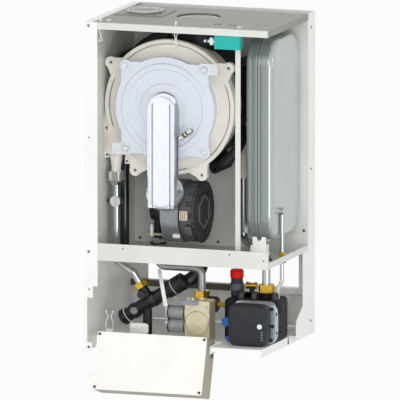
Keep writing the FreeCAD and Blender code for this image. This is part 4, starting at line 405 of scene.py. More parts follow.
class BOILER_OT_casing(bpy.types.Operator):
    """Powder coat on the casing, the brackets and the wire clips, and zinc on the lower back plate"""
    bl_idname = "boiler.casing"
    bl_label = "Casing"

    def execute(self, context):
        c = context.scene.boiler_colours
        # Sprayed powder flows out to a soft, faintly dimpled white skin
        coat = finish("Powder coated steel, sprayed", c.casing, patch=220, spread=0.03, grain=2.2,
                      bump=0.04, rough=0.38, Coat_Weight=0.08)
        wear(coat, "left_side_panel", "right_upright", "rear_panel", "bottom_shelf", "vessel_brackets",
             "cover_clips")
        # Hot dip leaves crystals that catch the light one by one; the fold at the top is brown
        fold = (c.back_plate, [("Z", 1, -650), ("X", -1, 60)])
        zinc = finish("Galvanised sheet, hot dipped", c.casing, patch=14, spread=0.05, grain=1.2,
                      bump=0.02, rough=0.42, metallic=0.1, spots=True, patches=[fold])
        wear(zinc, "lower_back_plate")
        return {"FINISHED"}


class BOILER_OT_chamber(bpy.types.Operator):
    """Coated sheet of the chamber, and its rubber"""
    bl_idname = "boiler.chamber"
    bl_label = "Chamber"

    def execute(self, context):
        c = context.scene.boiler_colours
        # Coil coated sheet is even and slightly silky; its mid grey coat is written nearly white, a painted
        # light for the shaded chamber
        walls = finish("Coil coated steel, rolled", c.chamber, patch=120, spread=0.06, grain=1.4,
                       bump=0.02, rough=0.42, metallic=0.1)
        wear(walls, "chamber_walls")
        # The same coat on the top in a duller grey, painted shade; its front fold is painted light, as pale
        # as the tray
        fold = (c.tray, [("Y", -1, -347.6)])
        top = finish("Coil coated steel top, pressed", c.top, patch=120, spread=0.05, grain=1.4,
                     bump=0.02, rough=0.42, metallic=0.1, patches=[fold])
        wear(top, "chamber_top", "air_intake_plate")
        # Pressed after coating, so plain and even, with a low sheen
        tray = finish("Coated tray sheet, pressed", c.tray, patch=150, spread=0.04, grain=1.8,
                      bump=0.03, rough=0.4)
        wear(tray, "chamber_tray", "front_post")
        # Moulded rubber is black and matt
        rubber = finish("Rubber, moulded", srgb("17181a"), patch=12, spread=0.1, grain=0.9, bump=0.06,
                        rough=0.7)
        wear(rubber, "grommets", "vessel_diaphragm")
        return {"FINISHED"}


class BOILER_OT_exchanger(bpy.types.Operator):
    """Composite shells, cast door and mixture duct, plated fixings and the electrode"""
    bl_idname = "boiler.exchanger"
    bl_label = "Exchanger"

    def execute(self, context):
        c = context.scene.boiler_colours
        # Fibre filled composite has a satin skin with faint flow marks
        shell = finish("Filled polymer, moulded", c.shell, patch=45, spread=0.05, grain=1.6, bump=0.05,
                       rough=0.42, stretch=(1, 0.4, 1))
        wear(shell, "exchanger_front_shell")
        # Black composite swallows the light; only its edges show a dull shine
        dark = finish("Black composite, moulded", c.black, patch=30, spread=0.2, grain=1.4, bump=0.06,
                      rough=0.5, Specular_IOR_Level=0.3)
        wear(dark, "exchanger_rear_shell")
        # A fine sand casting, blasted: grainy and nearly white
        door = finish("Aluminium, sand cast and blasted", c.door, patch=2.6, spread=0.09, grain=2.4,
                      bump=0.12, rough=0.45, metallic=0.25)
        wear(door, "burner_door")
        # Die casting drawn up the duct leaves fine upright streaks; its flank and the feet of its rails are
        # painted shade
        shade, flank = darker(c.duct, 0.35), darker(c.duct, 0.5)
        painted_shade = [(shade, [("X", 1, x), ("X", -1, x + wide), ("Z", -1, -150), ("Y", -1, -330)])
                for x, wide in ((-63.5, 2.5), (-20, 5))]
        painted_shade.append((flank, [("X", 1, -12), ("Y", 1, -343), ("Y", -1, -316), ("Z", -1, -120)]))
        duct = finish("Aluminium, die cast", c.duct, patch=5, spread=0.04, grain=2.2, bump=0.05,
                      rough=0.34, metallic=0.4, stretch=(1, 1, 0.2), patches=painted_shade)
        wear(duct, "manifold")
        # Zinc plating is a blue grey mirror, a little clouded
        zinc = finish("Steel, zinc plated", srgb("b4b8ba"), patch=9, spread=0.12, grain=1.0, bump=0.03,
                      rough=0.22, metallic=0.9)
        wear(zinc, "fixing_screws", "electrode", "exchanger_coil", "burner")
        # Fresh plating on the studs and their nuts: bright faces, crisp edges
        nuts = finish("Steel nuts, bright plated", srgb("d3d6d8"), patch=6, spread=0.12, grain=1.0,
                      bump=0.03, rough=0.2, metallic=0.75)
        wear(nuts, "door_fixings")
        return {"FINISHED"}


class BOILER_OT_fan(bpy.types.Operator):
    """Fan housing, its cover, the mixer and the transformer"""
    bl_idname = "boiler.fan"
    bl_label = "Fan"

    def execute(self, context):
        c = context.scene.boiler_colours
        # A die casting left bare: mid grey, softly clouded
        housing = finish("Aluminium alloy, die cast", c.fan_case, patch=24, spread=0.12, grain=1.8,
                         bump=0.07, rough=0.4, metallic=0.6)
        wear(housing, "fan_volute", "fan_impeller")
        # The drum's side is written a lighter grey; its face is the darker
        drum = (srgb("505254"), [("X", -1, 24)])
        cover = finish("Glass filled nylon, moulded", srgb("3a3c3e"), patch=18, spread=0.25, grain=1.3,
                       bump=0.08, rough=0.48, patches=[drum], Specular_IOR_Level=0.3)
        wear(cover, "fan_cover")
        # The inlet has less glass in it and stays black
        inlet = finish("Nylon inlet, moulded", c.black, patch=18, spread=0.25, grain=1.3, bump=0.08,
                       rough=0.48, Specular_IOR_Level=0.3)
        wear(inlet, "mixer")
        # A polished mould gives the teal case its wet shine; the terminals at its left end are white
        terminals = (srgb("f1f2ee"), [("X", -1, 88.6)])
        teal = finish("Epoxy filled ABS, moulded", c.teal, patch=30, spread=0.06, grain=1.5, bump=0.04,
                      rough=0.32, patches=[terminals], Coat_Weight=0.15)
        wear(teal, "transformer")
        return {"FINISHED"}


class BOILER_OT_vessel(bpy.types.Operator):
    """Enamel of the flat expansion vessel"""
    bl_idname = "boiler.vessel"
    bl_label = "Vessel"

    def execute(self, context):
        c = context.scene.boiler_colours
        # Stoved enamel over a deep pressing: smooth, with slow waves that show in its highlights; its drawn
        # edge is painted shade
        edge = (darker(c.vessel, 0.66), [("X", -1, 206.5)])
        enamel = finish("Stoved enamel on pressed steel", c.vessel, patch=90, spread=0.05, grain=2.6,
                        bump=0.05, rough=0.2, metallic=0.25, patches=[edge], Coat_Weight=0.3)
        wear(enamel, "vessel_left_shell", "vessel_right_shell")
        return {"FINISHED"}


class BOILER_OT_pipes(bpy.types.Operator):
    """Drawn pipes, brass nuts, couplings and the black plastic of the water side"""
    bl_idname = "boiler.pipes"
    bl_label = "Pipes"

    def execute(self, context):
        c = context.scene.boiler_colours
        # Drawing leaves fine lines along the pipe and a mirror across it; the condensate pipe is dark
        condensate = (srgb("4c4e50"), [("X", -1, -150), ("Y", 1, -230)])
        pipe = finish("Steel pipe, drawn and plated", c.pipe, patch=10, spread=0.10, grain=2.0,
                      bump=0.02, rough=0.24, metallic=0.9, stretch=(1, 1, 0.15), patches=[condensate])
        wear(pipe, "water_pipes")
        # Bright plating mirrors the white room
        plated = finish("Sensor, bright plated", srgb("eceeee"), patch=8, spread=0.06, grain=1.2,
                        bump=0.02, rough=0.16, metallic=0.35)
        wear(plated, "flow_sensor")
        # Lacquer softens the shine of the gas pipe to a broad grey band
        gas = finish("Steel pipe, bent and lacquered", srgb("9a9d9b"), patch=14, spread=0.1, grain=1.5,
                     bump=0.03, rough=0.36, metallic=0.6)
        wear(gas, "gas_pipe")
        # Turned brass has a yellow shine; the vessel's own fitting, higher up, is plated steel
        steel = (c.pipe, [("X", 1, 200), ("Z", 1, -500)])
        brass = finish("Brass, turned", c.brass, patch=7, spread=0.14, grain=1.0, bump=0.03, rough=0.28,
                       metallic=0.95, patches=[steel])
        wear(brass, "union_nuts", "vessel_fittings")
        # Glass filled black with a low, uneven gloss; the pressure sensor's fitting is brass
        fitting = (c.brass, [("X", 1, 54.5), ("X", -1, 88), ("Y", 1, -205), ("Y", -1, -189), ("Z", 1, -660),
                             ("Z", -1, -645)])
        black = finish("Polyamide, moulded", c.black, patch=16, spread=0.3, grain=1.4, bump=0.06,
                       rough=0.36, patches=[fitting], Specular_IOR_Level=0.3)
        wear(black, "flow_manifold", "diverter_motor", "pressure_sensor")
        # A coarse grain on the block keeps it black from every side
        block = finish("Polyamide block, coarse grained", srgb("101113"), patch=12, spread=0.3,
                       grain=1.6, bump=0.1, rough=0.6, Specular_IOR_Level=0.2)
        wear(block, "water_block")
        # Satin cream as on the shell; the clip under the flow coupling is grey
        clip = (srgb("a29f94"), [("X", -1, 0), ("Z", -1, -332.2)])
        cream = finish("Coupling polymer, moulded", c.shell, patch=22, spread=0.06, grain=1.5,
                       bump=0.04, rough=0.42, patches=[clip])
        wear(cream, "pipe_couplings")
        # Plain white with a clean, even sheen
        white = finish("ABS, moulded white", srgb("f0f1ee"), patch=20, spread=0.04, grain=1.4,
                       bump=0.04, rough=0.35)
        wear(white, "pump_button", "flue_collar")
        return {"FINISHED"}


class BOILER_OT_gas_and_pump(bpy.types.Operator):
    """Gas valve, its coils, the pump's motor, the vent and the taps"""
    bl_idname = "boiler.gas_and_pump"
    bl_label = "Gas valve and pump"

    def execute(self, context):
        c = context.scene.boiler_colours
        # Passivation turns the casting a yellowish khaki with a dull metal shine
        khaki = finish("Zinc alloy, die cast and passivated", c.khaki, patch=18, spread=0.10, grain=1.8,
                       bump=0.07, rough=0.4, metallic=0.4)
        wear(khaki, "gas_valve")
        # Plain mid grey, half matt
        grey = finish("Polyester, moulded grey", c.grey, patch=15, spread=0.08, grain=1.4, bump=0.05,
                      rough=0.45)
        wear(grey, "gas_solenoids", "heating_dial", "water_dial", "reset_key")
        # Spark texture scatters the light to an even charcoal
        vent = finish("Polycarbonate, spark textured", c.charcoal, patch=20, spread=0.12, grain=1.2,
                      bump=0.08, rough=0.5, Specular_IOR_Level=0.3)
        wear(vent, "air_vent")
        # Bare cast metal, pale with grey clouds
        motor = finish("Aluminium motor can, cast", srgb("b5b8b7"), patch=20, spread=0.1, grain=1.8,
                       bump=0.08, rough=0.38, metallic=0.7)
        wear(motor, "pump_motor", "pump_rotor")
        # Soft waxy plastic in a full red, and in blue with a little more shine
        red = finish("Polypropylene, moulded red", c.red, patch=14, spread=0.08, grain=1.3, bump=0.04,
                     rough=0.4, Specular_IOR_Level=0.2)
        wear(red, "vent_cap")
        blue = finish("Polypropylene, moulded blue", c.blue, patch=12, spread=0.08, grain=1.3,
                      bump=0.04, rough=0.34)
        wear(blue, "fill_tap_knob", "drain_tap_knob")
        return {"FINISHED"}


class BOILER_OT_control_box(bpy.types.Operator):
    """Warm white box with its screws, board and window"""
    bl_idname = "boiler.control_box"
    bl_label = "Control box"

    def execute(self, context):
        c = context.scene.boiler_colours
        # Spark texture makes the warm white cover even and free of glare
        box = finish("ABS, spark textured", c.box, patch=70, spread=0.03, grain=1.6, bump=0.05,
                     rough=0.45)
        wear(box, "control_cover")
        # The same texture on the tub, in a sand grey that is painted shade on the box's sides
        tub = finish("ABS tub, spark textured", c.tub, patch=70, spread=0.04, grain=1.6, bump=0.05,
                     rough=0.48)
        wear(tub, "control_case")
        # Black oxide lets a little steel shine through
        dark = finish("Steel screws, blackened", srgb("3c3c3c"), patch=4, spread=0.2, grain=0.8,
                      bump=0.03, rough=0.4, metallic=0.8)
        wear(dark, "control_screws")
        # Glossy green, broken by the tracks under it
        board = finish("Solder mask on fibre board", c.board, patch=6, spread=0.2, grain=1.0, bump=0.03,
                       rough=0.3)
        wear(board, "circuit_board")
        # A dark pane with a clear reflection
        pane = finish("Acrylic, smoked", srgb("15191c"), patch=40, spread=0.05, grain=3.0, bump=0.005,
                      rough=0.08, Coat_Weight=0.5)
        wear(pane, "display_window")
        return {"FINISHED"}


# Small fittings of the casing

class BOILER_OT_panel_screws(bpy.types.Operator):
    """Screws on the left flange, the right upright and the chamber's back wall"""
    bl_idname = "boiler.panel_screws"
    bl_label = "Panel screws"

    def execute(self, context):
        radius = context.scene.boiler_sizes.screw / MM
        flange = lowest("left_side_panel")
        front = [screw((flange[0] + 11.6, flange[1], z), FRONT, radius) for z in (31.4, -515.2, -747.1)]
        edge = highest("right_upright")[0]
        side = [screw((edge, -30, z), RIGHT, radius) for z in (4.7, -338.8, -709)]
        back = [screw(surface("chamber_walls", (x, -120, z), BACK), FRONT, radius * 1.2)
                for x, z in ((-195, -526), (4, -526), (222, -487))]
        # Plating that has dulled keeps a soft, broken shine
        steel = finish("Steel, zinc plated and dulled", srgb("777a7a"), patch=3, spread=0.2, grain=0.7,
                       bump=0.03, rough=0.36, metallic=0.7)
        piece("panel_screws", front + side + back, steel)
        return {"FINISHED"}


class BOILER_OT_sheet_holes(bpy.types.Operator):
    """Small punched holes in the flange, the tray and the top, and the key slot in the shelf's fold"""
    bl_idname = "boiler.sheet_holes"
    bl_label = "Sheet holes"

    def execute(self, context):
        radius = context.scene.boiler_sizes.hole / MM
        small = radius * 0.7
        flange_y = lowest("left_side_panel")[1]
        tray_y = lowest("chamber_tray")[1]
        top_z = highest("chamber_top")[2]
        key_y, key_z = -150, -738
        fold_x = surface("bottom_shelf", (300, key_y, key_z), LEFT)[0]
        holes = [disc((-219.3, flange_y, z), FRONT, small) for z in (-239, -606.8)]
        holes += [disc((x, tray_y, z), FRONT, small)
                  for x, z in ((-134.4, -504), (136, -504), (221.6, -515))]
        holes += [disc((x, y, top_z), UP, radius)
                  for x, y in ((173, -261), (197, -263), (175, -85), (200, -92))]
        holes += [moulding((x, y, top_z - 0.2), UP, 4.2, 3.2, 0.5, 0.2)
                  for x, y in ((78, -283), (89, -283), (116, -287), (127, -287))]
        holes += [moulding((fold_x - 0.2, key_y, key_z), RIGHT, 3, 6.5, 0.6, 0.2),
                  disc((fold_x, key_y, key_z - 7), RIGHT, 4)]
        # The eye sees only the dark behind a punched edge
        dark = finish("Punched hole, in shade", srgb("232424"), patch=3, spread=0.2, grain=0.8,
                      bump=0.01, rough=0.8)
        piece("sheet_holes", holes, dark)
        return {"FINISHED"}


class BOILER_OT_white_tabs(bpy.types.Operator):
    """Bent tabs at the front of the top, and the notched saddle under the vessel"""
    bl_idname = "boiler.white_tabs"
    bl_label = "Tabs and saddle"

    def execute(self, context):
        c = context.scene.boiler_colours
        top_z = highest("chamber_top")[2]
        tabs = [moulding((x, y, top_z), UP, 9, 4, 2.2, 0.5) for x, y in ((-182, -312), (150, -318))]
        half, notch, throat = 16.5, 7, 4
        foot, shoulder, root = -20, 45, 36
        outline = [(-half, foot), (half, foot), (half, shoulder), (notch, shoulder), (throat, root),
                   (-throat, root), (-notch, shoulder), (-half, shoulder)]
        saddle = plate(outline, (187, lowest("vessel_brackets")[1] + 0.3, -514), FRONT, 2.8)
        # Small bent pieces take the same powder, so the same soft white
        coat = finish("Powder coated tabs, sprayed", c.casing, patch=60, spread=0.03, grain=2.0,
                      bump=0.04, rough=0.38)
        piece("white_tabs", tabs + [saddle], coat)
        return {"FINISHED"}


class BOILER_OT_intake_trim(bpy.types.Operator):
    """Two rings round the air intake, and the screws of its plate"""
    bl_idname = "boiler.intake_trim"
    bl_label = "Intake rings and screws"

    def execute(self, context):
        x, y, _ = middle_of("air_intake_plate")
        z = highest("air_intake_plate")[2]
        rims = [band(inner, outer, 0, tall, (x, y, z), UP)
                for inner, outer, tall in ((40, 42.6, 1.6), (29, 31, 1.0))]
        # A spun ring, written nearly white: its bright metal with a painted highlight
        bright = finish("Aluminium ring, spun", srgb("f0f2ee"), patch=12, spread=0.05, grain=1.2,
                        bump=0.02, rough=0.3, metallic=0.3)
        piece("intake_rings", rims, bright)
        radius, out = context.scene.boiler_sizes.screw / MM, 37
        screws = [screw(surface("air_intake_plate", (x + right, y + back, z + 50), DOWN), UP, radius)
                  for right in (-out, out) for back in (-out, out)]
        # Dulled as the panel screws are, and darker
        steel = finish("Steel screws, dulled", srgb("55585a"), patch=3, spread=0.2, grain=0.7,
                       bump=0.03, rough=0.36, metallic=0.7)
        piece("intake_screws", screws, steel)
        return {"FINISHED"}


# Small fittings of the exchanger and the fan

class BOILER_OT_shell_seal(bpy.types.Operator):
    """Dark seal round the shell's face, and the dark joint, pale flange and tab on its side"""
    bl_idname = "boiler.shell_seal"
    bl_label = "Shell seal"

    def execute(self, context):
        face_y, joint_y, flange_y = -275, -262, -236
        seal = band(151.6, 153.2, -0.2, 1.4, (SHELL_X, face_y, SHELL_Z), FRONT, 160)
        # Silicone cord: matt, a little uneven where it is pressed in
        cord = finish("Silicone seal, pressed in", srgb("6f6a60"), patch=8, spread=0.15, grain=1.0,
                      bump=0.05, rough=0.6)
        piece("shell_seal", [seal], cord)
        piece("shell_joint", [self.hoop(joint_y, 0.5, 3)], cord)
        tab = moulding((-137, -265, -300), FRONT, 20, 11.5, 4, 0.6, 16)
        # Satin cream, the same as the shell
        pale = finish("Filled polymer flange, moulded", context.scene.boiler_colours.shell, patch=45,
                      spread=0.05, grain=1.6, bump=0.05, rough=0.42)
        piece("shell_flange", [self.hoop(flange_y, 3, 6), tab], pale)
        holes = [moulding((x, -268.8, -305), FRONT, 2.6, 2.6, 0.5, 0.2) for x in (-152, -127)]
        # Nothing shows in the tab's holes but the dark behind them
        dark = finish("Moulded hole, in shade", srgb("26241f"), patch=3, spread=0.2, grain=0.8,
                      bump=0.01, rough=0.8)
        piece("shell_tab_holes", holes, dark)
        return {"FINISHED"}

    def hoop(self, y, proud, width):
        """A ring that stands proud of the front shell's side, whose radius is met from the right."""
        reach = surface("exchanger_front_shell", (300, y, SHELL_Z), LEFT)[0] - SHELL_X
        return band(SHELL_RADIUS, reach + proud, 0, width, (SHELL_X, y, SHELL_Z), BACK, 160)


class BOILER_OT_duct_trim(bpy.types.Operator):
    """Dark bead of painted shade at the foot of the duct's arch, and the two rails on its face"""
    bl_idname = "boiler.duct_trim"
    bl_label = "Duct bead and rails"

    def execute(self, context):
        foot_y, arch_z = -316, -161
        reach = highest("manifold")[2] - arch_z + 1.2
        arch = arc(reach, 0, 180, 25, (SHELL_X, foot_y, arch_z))
        right, left = [[(SHELL_X + sign * reach, foot_y, z) for z in (arch_z, -230, -330)]
                       for sign in (1, -1)]
        bead = swept(np.concatenate([right[::-1], arch, left]), 1.6, 1.6, count=10)
        # A matt, blue grey bead along the casting's corner is painted shade
        dim = finish("Aluminium fillet, painted shade", srgb("626978"), patch=10, spread=0.12, grain=1.6,
                     bump=0.08, rough=0.6, metallic=0.3)
        piece("duct_shade_bead", [bead], dim)
        face_y = lowest("manifold")[1] + 7.2
        rails = [moulding((x, face_y, -272), FRONT, wide, 122, 7.5, 0.6, 30)
                 for x, wide in ((-67, 3.2), (-10.5, 4.2))]
        # Machined along the casting to an even, light satin grey
        bright = finish("Aluminium rails, machined", srgb("e6ebf3"), patch=5, spread=0.05, grain=2.0,
                        bump=0.03, rough=0.32, metallic=0.4)
        piece("duct_rails", rails, bright)
        return {"FINISHED"}


class BOILER_OT_rear_bend(bpy.types.Operator):
    """Black band on the rear shell's shoulder and the moulded pipe bend under it, both ends in the shell"""
    bl_idname = "boiler.rear_bend"
    bl_label = "Rear band and bend"

    def execute(self, context):
        guard = swept(arc(163, 102, 140, 24, (SHELL_X, -176, SHELL_Z)), 14, 13, count=16, power=5.0)
        # Extruded rubber: black with a faint satin shine
        black = finish("Rubber band, extruded", srgb("121314"), patch=20, spread=0.2, grain=1.2,
                       bump=0.05, rough=0.5, Specular_IOR_Level=0.3)
        piece("rear_band", [guard], black)
        # The fourth power of the share keeps the bend's middle outside and turns both ends into the shell
        count = 48
        inwards = np.linspace(-1, 1, count) ** 4
        route = arc(181 - 24 * inwards, -63, -26, count, (SHELL_X, -205 + 70 * inwards, SHELL_Z))
        # Moulded polypropylene is black, waxy and half matt
        waxy = finish("Polypropylene bend, moulded", srgb("1d1e1f"), patch=12, spread=0.2, grain=1.0,
                      bump=0.06, rough=0.5)
        piece("rear_bend", [swept(route, 12.5, 12.5, count=20)], waxy)
        return {"FINISHED"}


class BOILER_OT_electrode_parts(bpy.types.Operator):
    """Ceramic, nuts and plated ends of the ignition electrode"""
    bl_idname = "boiler.electrode_parts"
    bl_label = "Electrode parts"

    def execute(self, context):
        start, axis = np.array([5.7, -334, -232]), np.array([28, 0, 23])
        ceramic = turned([(0, 0), (3.8, 0), (4, 1), (4, 30), (0, 30)], start, axis)
        # Glaze gives the ceramic a warm white, glassy skin
        glazed = finish("Alumina, glazed", srgb("ede7da"), patch=6, spread=0.06, grain=0.9, bump=0.02,
                        rough=0.22)
        piece("electrode_ceramic", [ceramic], glazed)
        nuts = [rod(radius, z, z + 5, start, axis, 6) for z, radius in ((10, 6.2), (19, 5.4))]
        # Heat has browned the turned bronze
        bronze = finish("Bronze nut, turned", srgb("75654a"), patch=5, spread=0.14, grain=0.9,
                        bump=0.03, rough=0.26, metallic=0.9)
        piece("electrode_nuts", nuts, bronze)
        ends = [turned([(0, z - 4), (5, z - 4), (5.6, z - 1), (4.4, z + 3), (0, z + 4)], start, axis)
                for z in (3, 32)]
        # Bright plating is almost a mirror
        plated = finish("Steel, bright plated", srgb("d4d8da"), patch=5, spread=0.1, grain=0.9,
                        bump=0.02, rough=0.16, metallic=0.95)
        piece("electrode_ends", ends, plated)
        return {"FINISHED"}


class BOILER_OT_fan_plugs(bpy.types.Operator):
    """Two plugs on the drum of the fan's cover, each with three columns of contact windows"""
    bl_idname = "boiler.fan_plugs"
    bl_label = "Fan plugs"

    def execute(self, context):
        middle = middle_of("fan_cover")
        radius = highest("fan_cover")[1] - middle[1]
        first, second = (0, 9.5, 11.5, -6), (36.7, 8, 11, 3)
        plugs, windows = zip(*(self.plug(middle, radius, *sizes) for sizes in (first, second)))
        # Natural nylon is cream and half matt; the second plug is dyed grey
        cream = finish("Nylon plug, moulded", srgb("d8cfbe"), patch=8, spread=0.08, grain=1.0,
                       bump=0.04, rough=0.45)
        piece("fan_plug", plugs[:1], cream)
        grey = finish("Nylon plug, moulded grey", srgb("6d6a67"), patch=8, spread=0.12, grain=1.0,
                      bump=0.04, rough=0.45)
        piece("fan_control_plug", plugs[1:], grey)
        # Brass deep in each window, its brown darkened by painted shade
        brass_in_shade = finish("Contact windows, dark", srgb("5a4636"), patch=3, spread=0.15, grain=0.7,
                       bump=0.02, rough=0.5)
        piece("fan_plug_windows", windows[0] + windows[1], brass_in_shade)
        return {"FINISHED"}

    def plug(self, middle, radius, drop, width, tall, x):
        """A block that stands square on the drum, a drop below its middle, with windows in its face."""
        tilt = np.array([0, -math.cos(math.asin(drop / radius)), -drop / radius])
        reach = math.sqrt(radius ** 2 - drop ** 2) - 2
        at = np.array([middle[0] + x, middle[1] - reach, middle[2] - drop])
        up = basis(tilt)[1]
        windows = []
        for row in (-1.5, -0.5, 0.5, 1.5):
            for column in (-1, 0, 1):
                across = np.array([column * width * 0.55, 0, 0])
                spot = at + tilt * 7.6 + across + up * row * tall * 0.46
                windows.append(moulding(spot, tilt, 1.5, 1.5, 0.9, 0.2))
        return moulding(at, tilt, width, tall, 8, 0.8, 12), windows


class BOILER_OT_fan_rim(bpy.types.Operator):
    """Scalloped rim of the fan's cover, and the six-sided ridge on its face"""
    bl_idname = "boiler.fan_rim"
    bl_label = "Fan rim"

    def execute(self, context):
        _, y, z = middle_of("fan_cover")
        face_x, outer_y, _ = highest("fan_cover")
        inner = 0.93
        rim = [(inner, 0), (1, 0), (1, 5), (0.97, 6), (inner, 6), (inner, 0)]
        teeth = lofted(rim, (face_x - 5.5, y, z), RIGHT, scalloped(outer_y - y + 0.6, 1.6, 30))
        # The rim has the cover's own grey black, with a little more shine on its teeth
        nylon = finish("Glass filled nylon rim, moulded", srgb("2b2c2e"), patch=10, spread=0.2,
                       grain=1.2, bump=0.07, rough=0.45)
        piece("fan_rim", [teeth], nylon)
        hub = band(38, 39.4, 0, 1.2, (face_x - 0.4, y, z), RIGHT, 6)
        # The raised edge is written a pale grey, a painted highlight
        painted_highlight = finish("Glass filled nylon, painted highlight", srgb("a3a5a6"), patch=5, spread=0.3,
                      grain=1.2, bump=0.05, rough=0.35)
        piece("fan_hub", [hub], painted_highlight)
        return {"FINISHED"}


class BOILER_OT_mixer_fittings(bpy.types.Operator):
    """White rod and tab, sand coloured gasket and bright nut round the mixer"""
    bl_idname = "boiler.mixer_fittings"
    bl_label = "Mixer fittings"

    def execute(self, context):
        pin = turned([(0, 0), (3.4, 0), (3.4, 26), (2.7, 28), (0, 28)],
                     (-91, -262, lowest("mixer")[2] + 22), UP)
        tab = moulding((-16, -294.5, -472.7), (0, -0.73, -0.68), 9, 4, 8.4)
        # Acetal is a clean, slippery white
        white = finish("Acetal, moulded", srgb("eff0ec"), patch=9, spread=0.05, grain=1.0, bump=0.03,
                       rough=0.38)
        piece("fan_white_fittings", [pin, tab], white)
        collar = moulding((-84, -242, -482), UP, 21, 24, 4, 0.8, 4)
        # Pressed fibre is matt, with soft patches in its sandy grey
        sand = finish("Fibre gasket, pressed", srgb("b3ad98"), patch=8, spread=0.12, grain=1.0,
                      bump=0.05, rough=0.6)
        piece("mixer_gasket", [collar], sand)
        nut = turned([(0, 0), (15, 0), (15, 12), (12, 14), (0, 14)], (-82.8, -240, -503), UP, 6)
        # Six flat faces, each a mirror of another part of the room
        bright = finish("Steel nut, bright plated", srgb("c4c8ca"), patch=6, spread=0.1, grain=0.9,
                        bump=0.03, rough=0.2, metallic=0.9)
        piece("mixer_nut", [nut], bright)
        return {"FINISHED"}


class BOILER_OT_transformer_plugs(bpy.types.Operator):
    """White lead socket with a blue ring between the transformer's terminals"""
    bl_idname = "boiler.transformer_plugs"
    bl_label = "Transformer plugs"

    def execute(self, context):
        c = context.scene.boiler_colours
        _, y, z = middle_of("transformer")
        at = (lowest("transformer")[0] + 9, y, z)
        boot = turned([(0, -6), (4.4, -6), (4.4, 10), (3.4, 11), (3.4, 24), (0, 24)], at, LEFT)
        # Silicone is a soft, dusty white
        white = finish("Silicone boot, moulded", srgb("f2f3f0"), patch=7, spread=0.05, grain=1.0,
                       bump=0.04, rough=0.5)
        piece("terminal_boots", [boot], white)
        ring = band(3.3, 4.0, 14, 4.5, at, LEFT, 32)
        # A dyed ring, plain blue with a low sheen
        blue = finish("Ring, moulded blue", c.blue, patch=5, spread=0.1, grain=0.9, bump=0.03,
                      rough=0.4)
        piece("terminal_rings", [ring], blue)
        return {"FINISHED"}


# Small fittings of the water side, the gas valve and the pump

class BOILER_OT_flow_fittings(bpy.types.Operator):
    """Nut and clip under the flow coupling, and the black ring of the sensor"""
    bl_idname = "boiler.flow_fittings"
    bl_label = "Flow fittings"

    def execute(self, context):
        flow_x = -182
        nut = turned([(9.3, 0), (15, 0), (15, 9), (9.3, 9), (9.3, 0)], (flow_x, -260, -364), UP, 6)
        clip = [moulding((flow_x + x, -272, -343), FRONT, 3, 12, 5) for x in (-10, 10)]
        # Bright plating is almost a mirror
        bright = finish("Steel fitting, bright plated", srgb("c9cdcf"), patch=6, spread=0.1, grain=0.9,
                        bump=0.03, rough=0.18, metallic=0.95)
        piece("flow_nut", [nut] + clip, bright)
        x, _, z = middle_of("flow_sensor")
        ring = band(13.1, 16, 2, 6, (x, highest("flow_sensor")[1], z), FRONT, 40)
        ears = [moulding((x + out, lowest("flow_sensor")[1] + 8, z), FRONT, 4.5, 5, 6)
                for out in (-15.5, 15.5)]
        # Black plastic that frames the bright sensor
        black = finish("Sensor ring, moulded", srgb("161719"), patch=6, spread=0.2, grain=0.9,
                       bump=0.05, rough=0.42)
        piece("sensor_ring", [ring] + ears, black)
        return {"FINISHED"}


class BOILER_OT_manifold_trim(bpy.types.Operator):
    """Bands, plug, knob and elbow of the black sloping manifold"""
    bl_idname = "boiler.manifold_trim"
    bl_label = "Manifold trim"

    def execute(self, context):
        width = context.scene.boiler_sizes.band / MM
        slope = math.radians(32.5)
        axis = np.array([math.cos(slope), 0, math.sin(slope)])
        middle = np.array([-102, -260, -647])
        bands = [band(18, 20.7, 0, width, middle + axis * along, axis) for along in (-60, 79)]
        # Pale bands stand out from the black as thin rings
        pale = finish("Polymer band, pale", srgb("e4e4df"), patch=8, spread=0.06, grain=1.0, bump=0.02,
                      rough=0.45)
        piece("manifold_bands", bands, pale)
        cap_at = middle + axis * -34 + (0, -15, 0)
        cap = turned([(0, 0), (9, 0), (9, 5.5), (7.5, 7.2), (0, 7.2)], cap_at, FRONT)
        # A grey round spot with a low sheen
        grey = finish("Plug, moulded grey", srgb("7d8286"), patch=6, spread=0.1, grain=1.0, bump=0.04,
                      rough=0.4)
        piece("manifold_plug", [cap], grey)
        knob = turned([(0, 0), (11, 0), (11, 6), (9, 8), (0, 7)], middle + (-10, -12, 21), FRONT)
        collars = [band(16, 19, 0, 12, middle + axis * along, axis, 48) for along in (-44, 14)]
        ribs = [band(19, 21.4, 6 + 8 * k, 3, middle + axis * 67.5, axis, 48) for k in range(5)]
        # Glass filled black, faintly clouded with grey
        black = finish("Polyamide elbow, moulded", srgb("1b1c1f"), patch=14, spread=0.3, grain=1.4,
                       bump=0.06, rough=0.36)
        piece("manifold_elbow", [knob, self.elbow()] + collars + ribs, black)
        return {"FINISHED"}

    def elbow(self):
        """A round bar on a cubic curve, from the manifold's end up behind the gas pipe to the tray."""
        step = np.linspace(0, 1, 28)[:, None]
        ends = np.array([(-48, -252, -613), (-25, -205, -600), (18, -208, -592), (18, -208, -535.5)])
        weights = (1 - step) ** 3, 3 * step * (1 - step) ** 2, 3 * step ** 2 * (1 - step), step ** 3
        return swept(sum(weight * end for weight, end in zip(weights, ends)), 17, 17, count=28)


class BOILER_OT_white_strap(bpy.types.Operator):
    """White strap in front of the manifold: a flat bar carried along a path that slants down"""
    bl_idname = "boiler.white_strap"
    bl_label = "White strap"

    def execute(self, context):
        half = context.scene.boiler_sizes.strip / MM / 2
        path = [(-78.2, -246, -566), (-69.8, -262, -578), (-61.9, -276, -592), (-57.4, -281, -605),
                (-53, -281.5, -628), (-48.7, -281.5, -650)]
        # Paint over sheet steel: flat white, softly shining
        paint = finish("Strap, painted white", srgb("f0f1ee"), patch=20, spread=0.05, grain=1.3,
                       bump=0.03, rough=0.4)
        piece("white_strap", [swept(path, half, 0.8, power=5.0)], paint)
        return {"FINISHED"}


